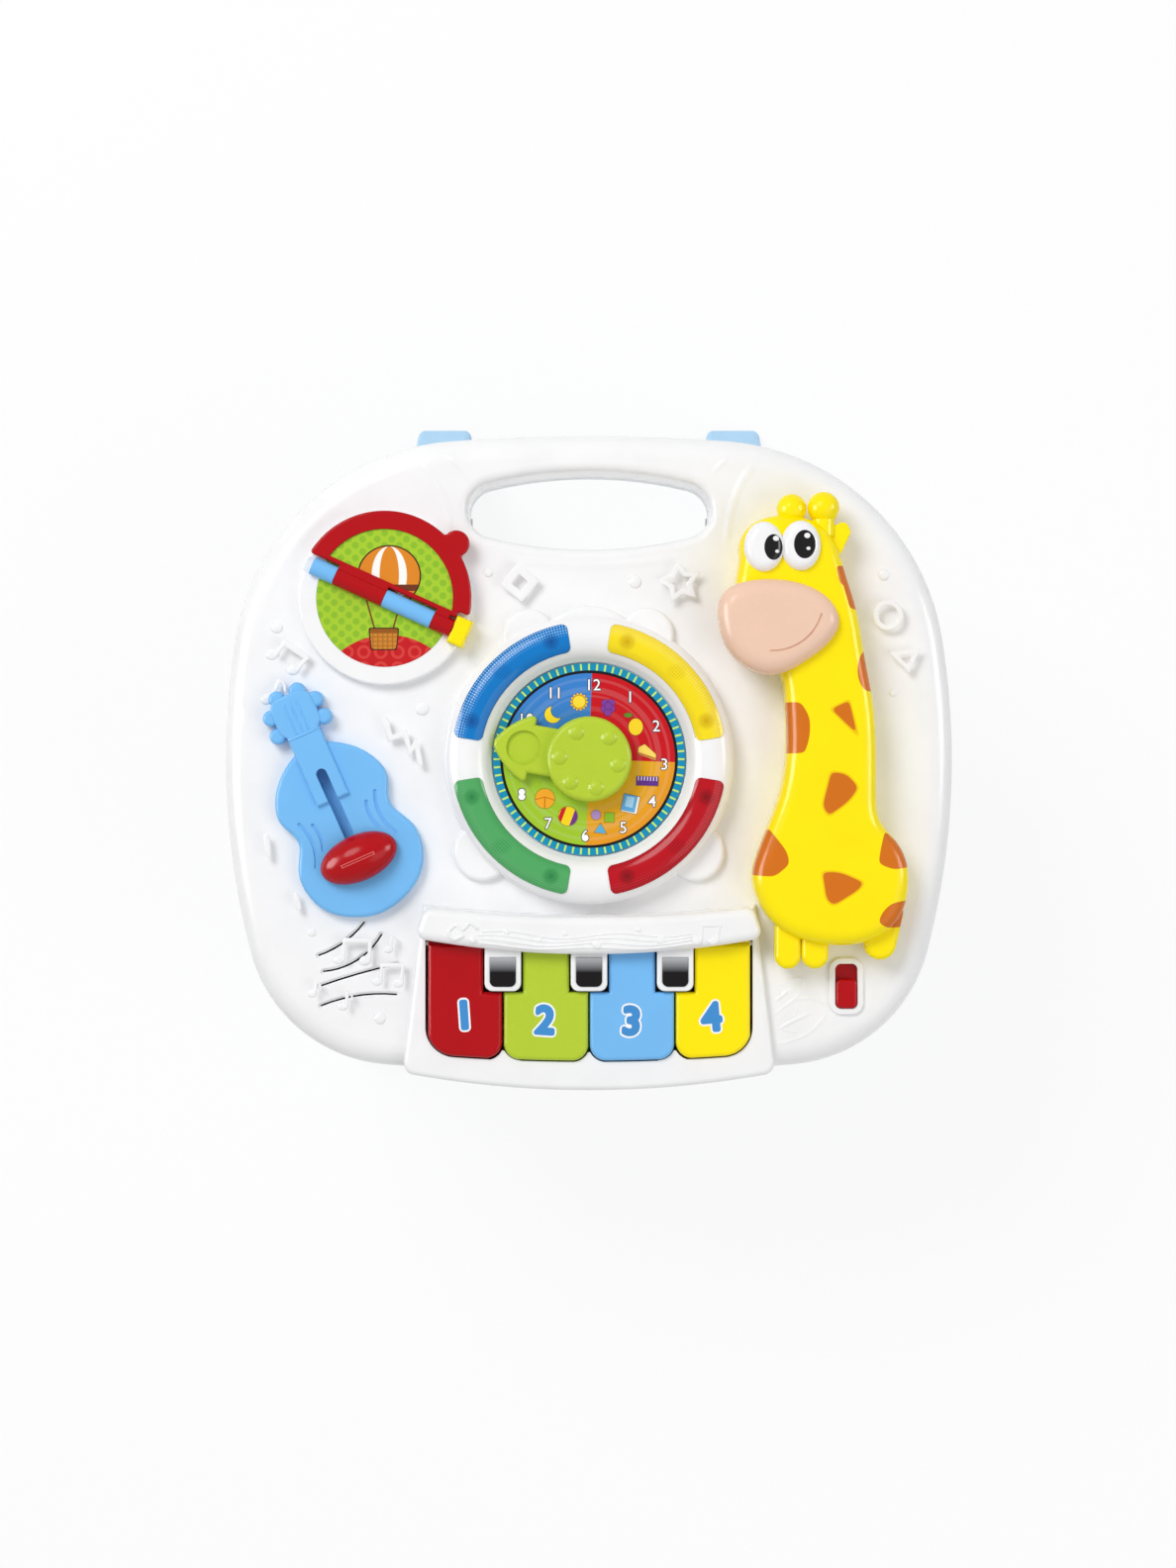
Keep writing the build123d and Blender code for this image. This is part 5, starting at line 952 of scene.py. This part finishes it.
hours = []
for hour in range(1, 13):
    angle = math.radians(NOON_TURN - 30 * hour)
    x, y = HOUR_RING * math.cos(angle), HOUR_RING * math.sin(angle) - HOUR_DROP
    hours.append((str(hour), spot(x, y, DIAL_TOP + PRINT), 0))
raised = [(text, place + Vector((0, 0, PRINT * MM)), turn) for text, place, turn in hours]
piece("hour_outlines", lettering(hours, HOUR_TEXT, HOUR_OUTLINE, copies=8), ink_dark, "table")
piece("hour_numbers", lettering(raised, HOUR_TEXT, HOUR_BOLD, copies=4), ink_white, "table")

for body, (text, x, y, turn) in KEY_NUMBERS.items():
    low = [(text, spot(x, y, KEY_TOP + PRINT), turn)]
    high = [(text, spot(x, y, KEY_TOP + 2 * PRINT), turn)]
    piece(body + "_outline", lettering(low, KEY_TEXT, KEY_OUTLINE), ink_white, body)
    piece(body + "_number", lettering(high, KEY_TEXT, KEY_BOLD), ink_blue, body)

# Floor, light and camera
FLOOR_SIZE = 12.0
FLOOR_LIFT = 0.86
WORLD_LIGHT = 0.55
# Height of the picture in pixels, and length of a pixel on the panel
PICTURE_HEIGHT = 1584
PIXEL = 0.49 * MM
CAMERA_PLACE = (-0.5, -12.25)
CAMERA_HEIGHT = 1.4
SENSOR = 24.0


def seen_white(tree, shaded, strength):
    """Lifts a surface to white where the eye, a reflection or glass sees it, and keeps some of its shade."""
    path = tree.nodes.new("ShaderNodeLightPath")
    seen = Field(tree, path.outputs["Is Camera Ray"])
    for ray in ("Is Glossy Ray", "Is Transmission Ray"):
        seen = seen.math("MAXIMUM", Field(tree, path.outputs[ray]))
    glow = tree.nodes.new("ShaderNodeEmission")
    glow.inputs["Color"].default_value = (1, 1, 1, 1)
    mix = tree.nodes.new("ShaderNodeMixShader")
    tree.links.new((seen * strength).socket, mix.inputs[0])
    tree.links.new(shaded, mix.inputs[1])
    tree.links.new(glow.outputs[0], mix.inputs[2])
    return mix.outputs[0]


def pale_floor():
    mesh = bpy.data.meshes.new("pale_floor")
    half = FLOOR_SIZE / 2
    corners = [(-half, -half, 0), (half, -half, 0), (half, half, 0), (-half, half, 0)]
    mesh.from_pydata(corners, [], [(0, 1, 2, 3)])
    material = bpy.data.materials.new("pale_floor")
    material.use_nodes = True
    tree = material.node_tree
    shader = tree.nodes["Principled BSDF"]
    shader.inputs["Base Color"].default_value = (0.9, 0.9, 0.9, 1)
    shader.inputs["Roughness"].default_value = 0.9
    lifted = seen_white(tree, shader.outputs[0], FLOOR_LIFT)
    tree.links.new(lifted, tree.nodes["Material Output"].inputs["Surface"])
    mesh.materials.append(material)
    floor = bpy.data.objects.new("pale_floor", mesh)
    bpy.context.scene.collection.objects.link(floor)


def soft_lamp(name, place, aim, size, watts, gloss_only=False):
    """A round lamp. A gloss-only one shows in reflections and adds no diffuse light."""
    lamp = bpy.data.lights.new(name, "AREA")
    lamp.energy, lamp.size, lamp.shape = watts, size, "DISK"
    holder = bpy.data.objects.new(name, lamp)
    holder.location = place
    holder.visible_diffuse = not gloss_only
    holder.rotation_euler = (Vector(aim) - Vector(place)).to_track_quat("-Z", "Y").to_euler()
    bpy.context.scene.collection.objects.link(holder)


def soft_world(strength):
    world = bpy.data.worlds.new("soft_world")
    world.use_nodes = True
    tree = world.node_tree
    sky_shader = tree.nodes["Background"]
    sky_shader.inputs["Color"].default_value = (1, 1, 1, 1)
    sky_shader.inputs["Strength"].default_value = strength
    lifted = seen_white(tree, sky_shader.outputs[0], 1.0)
    tree.links.new(lifted, tree.nodes["World Output"].inputs["Surface"])
    bpy.context.scene.world = world


pale_floor()
soft_world(WORLD_LIGHT)
soft_lamp("window_light", (-1.0, 1.1, 2.0), (0, 0, 0.2), 1.1, 26.0)
soft_lamp("fill_light", (1.3, -0.6, 1.7), (0, 0, 0.2), 1.4, 8.0)
soft_lamp("left_gleam", (-1.4, 0.1, 0.85), (0, 0, 0.25), 0.9, 34.0, gloss_only=True)
soft_lamp("right_gleam", (1.4, 0.2, 0.85), (0, 0, 0.25), 0.7, 14.0, gloss_only=True)

lens = bpy.data.cameras.new("camera")
lens.sensor_fit = "VERTICAL"
lens.sensor_height = SENSOR
lens.lens = SENSOR * CAMERA_HEIGHT / (PICTURE_HEIGHT * PIXEL)
camera = bpy.data.objects.new("camera", lens)
camera.location = spot(*CAMERA_PLACE) + Vector((0, 0, CAMERA_HEIGHT))
bpy.context.scene.collection.objects.link(camera)
bpy.context.scene.camera = camera
bpy.context.scene.view_settings.view_transform = "Standard"
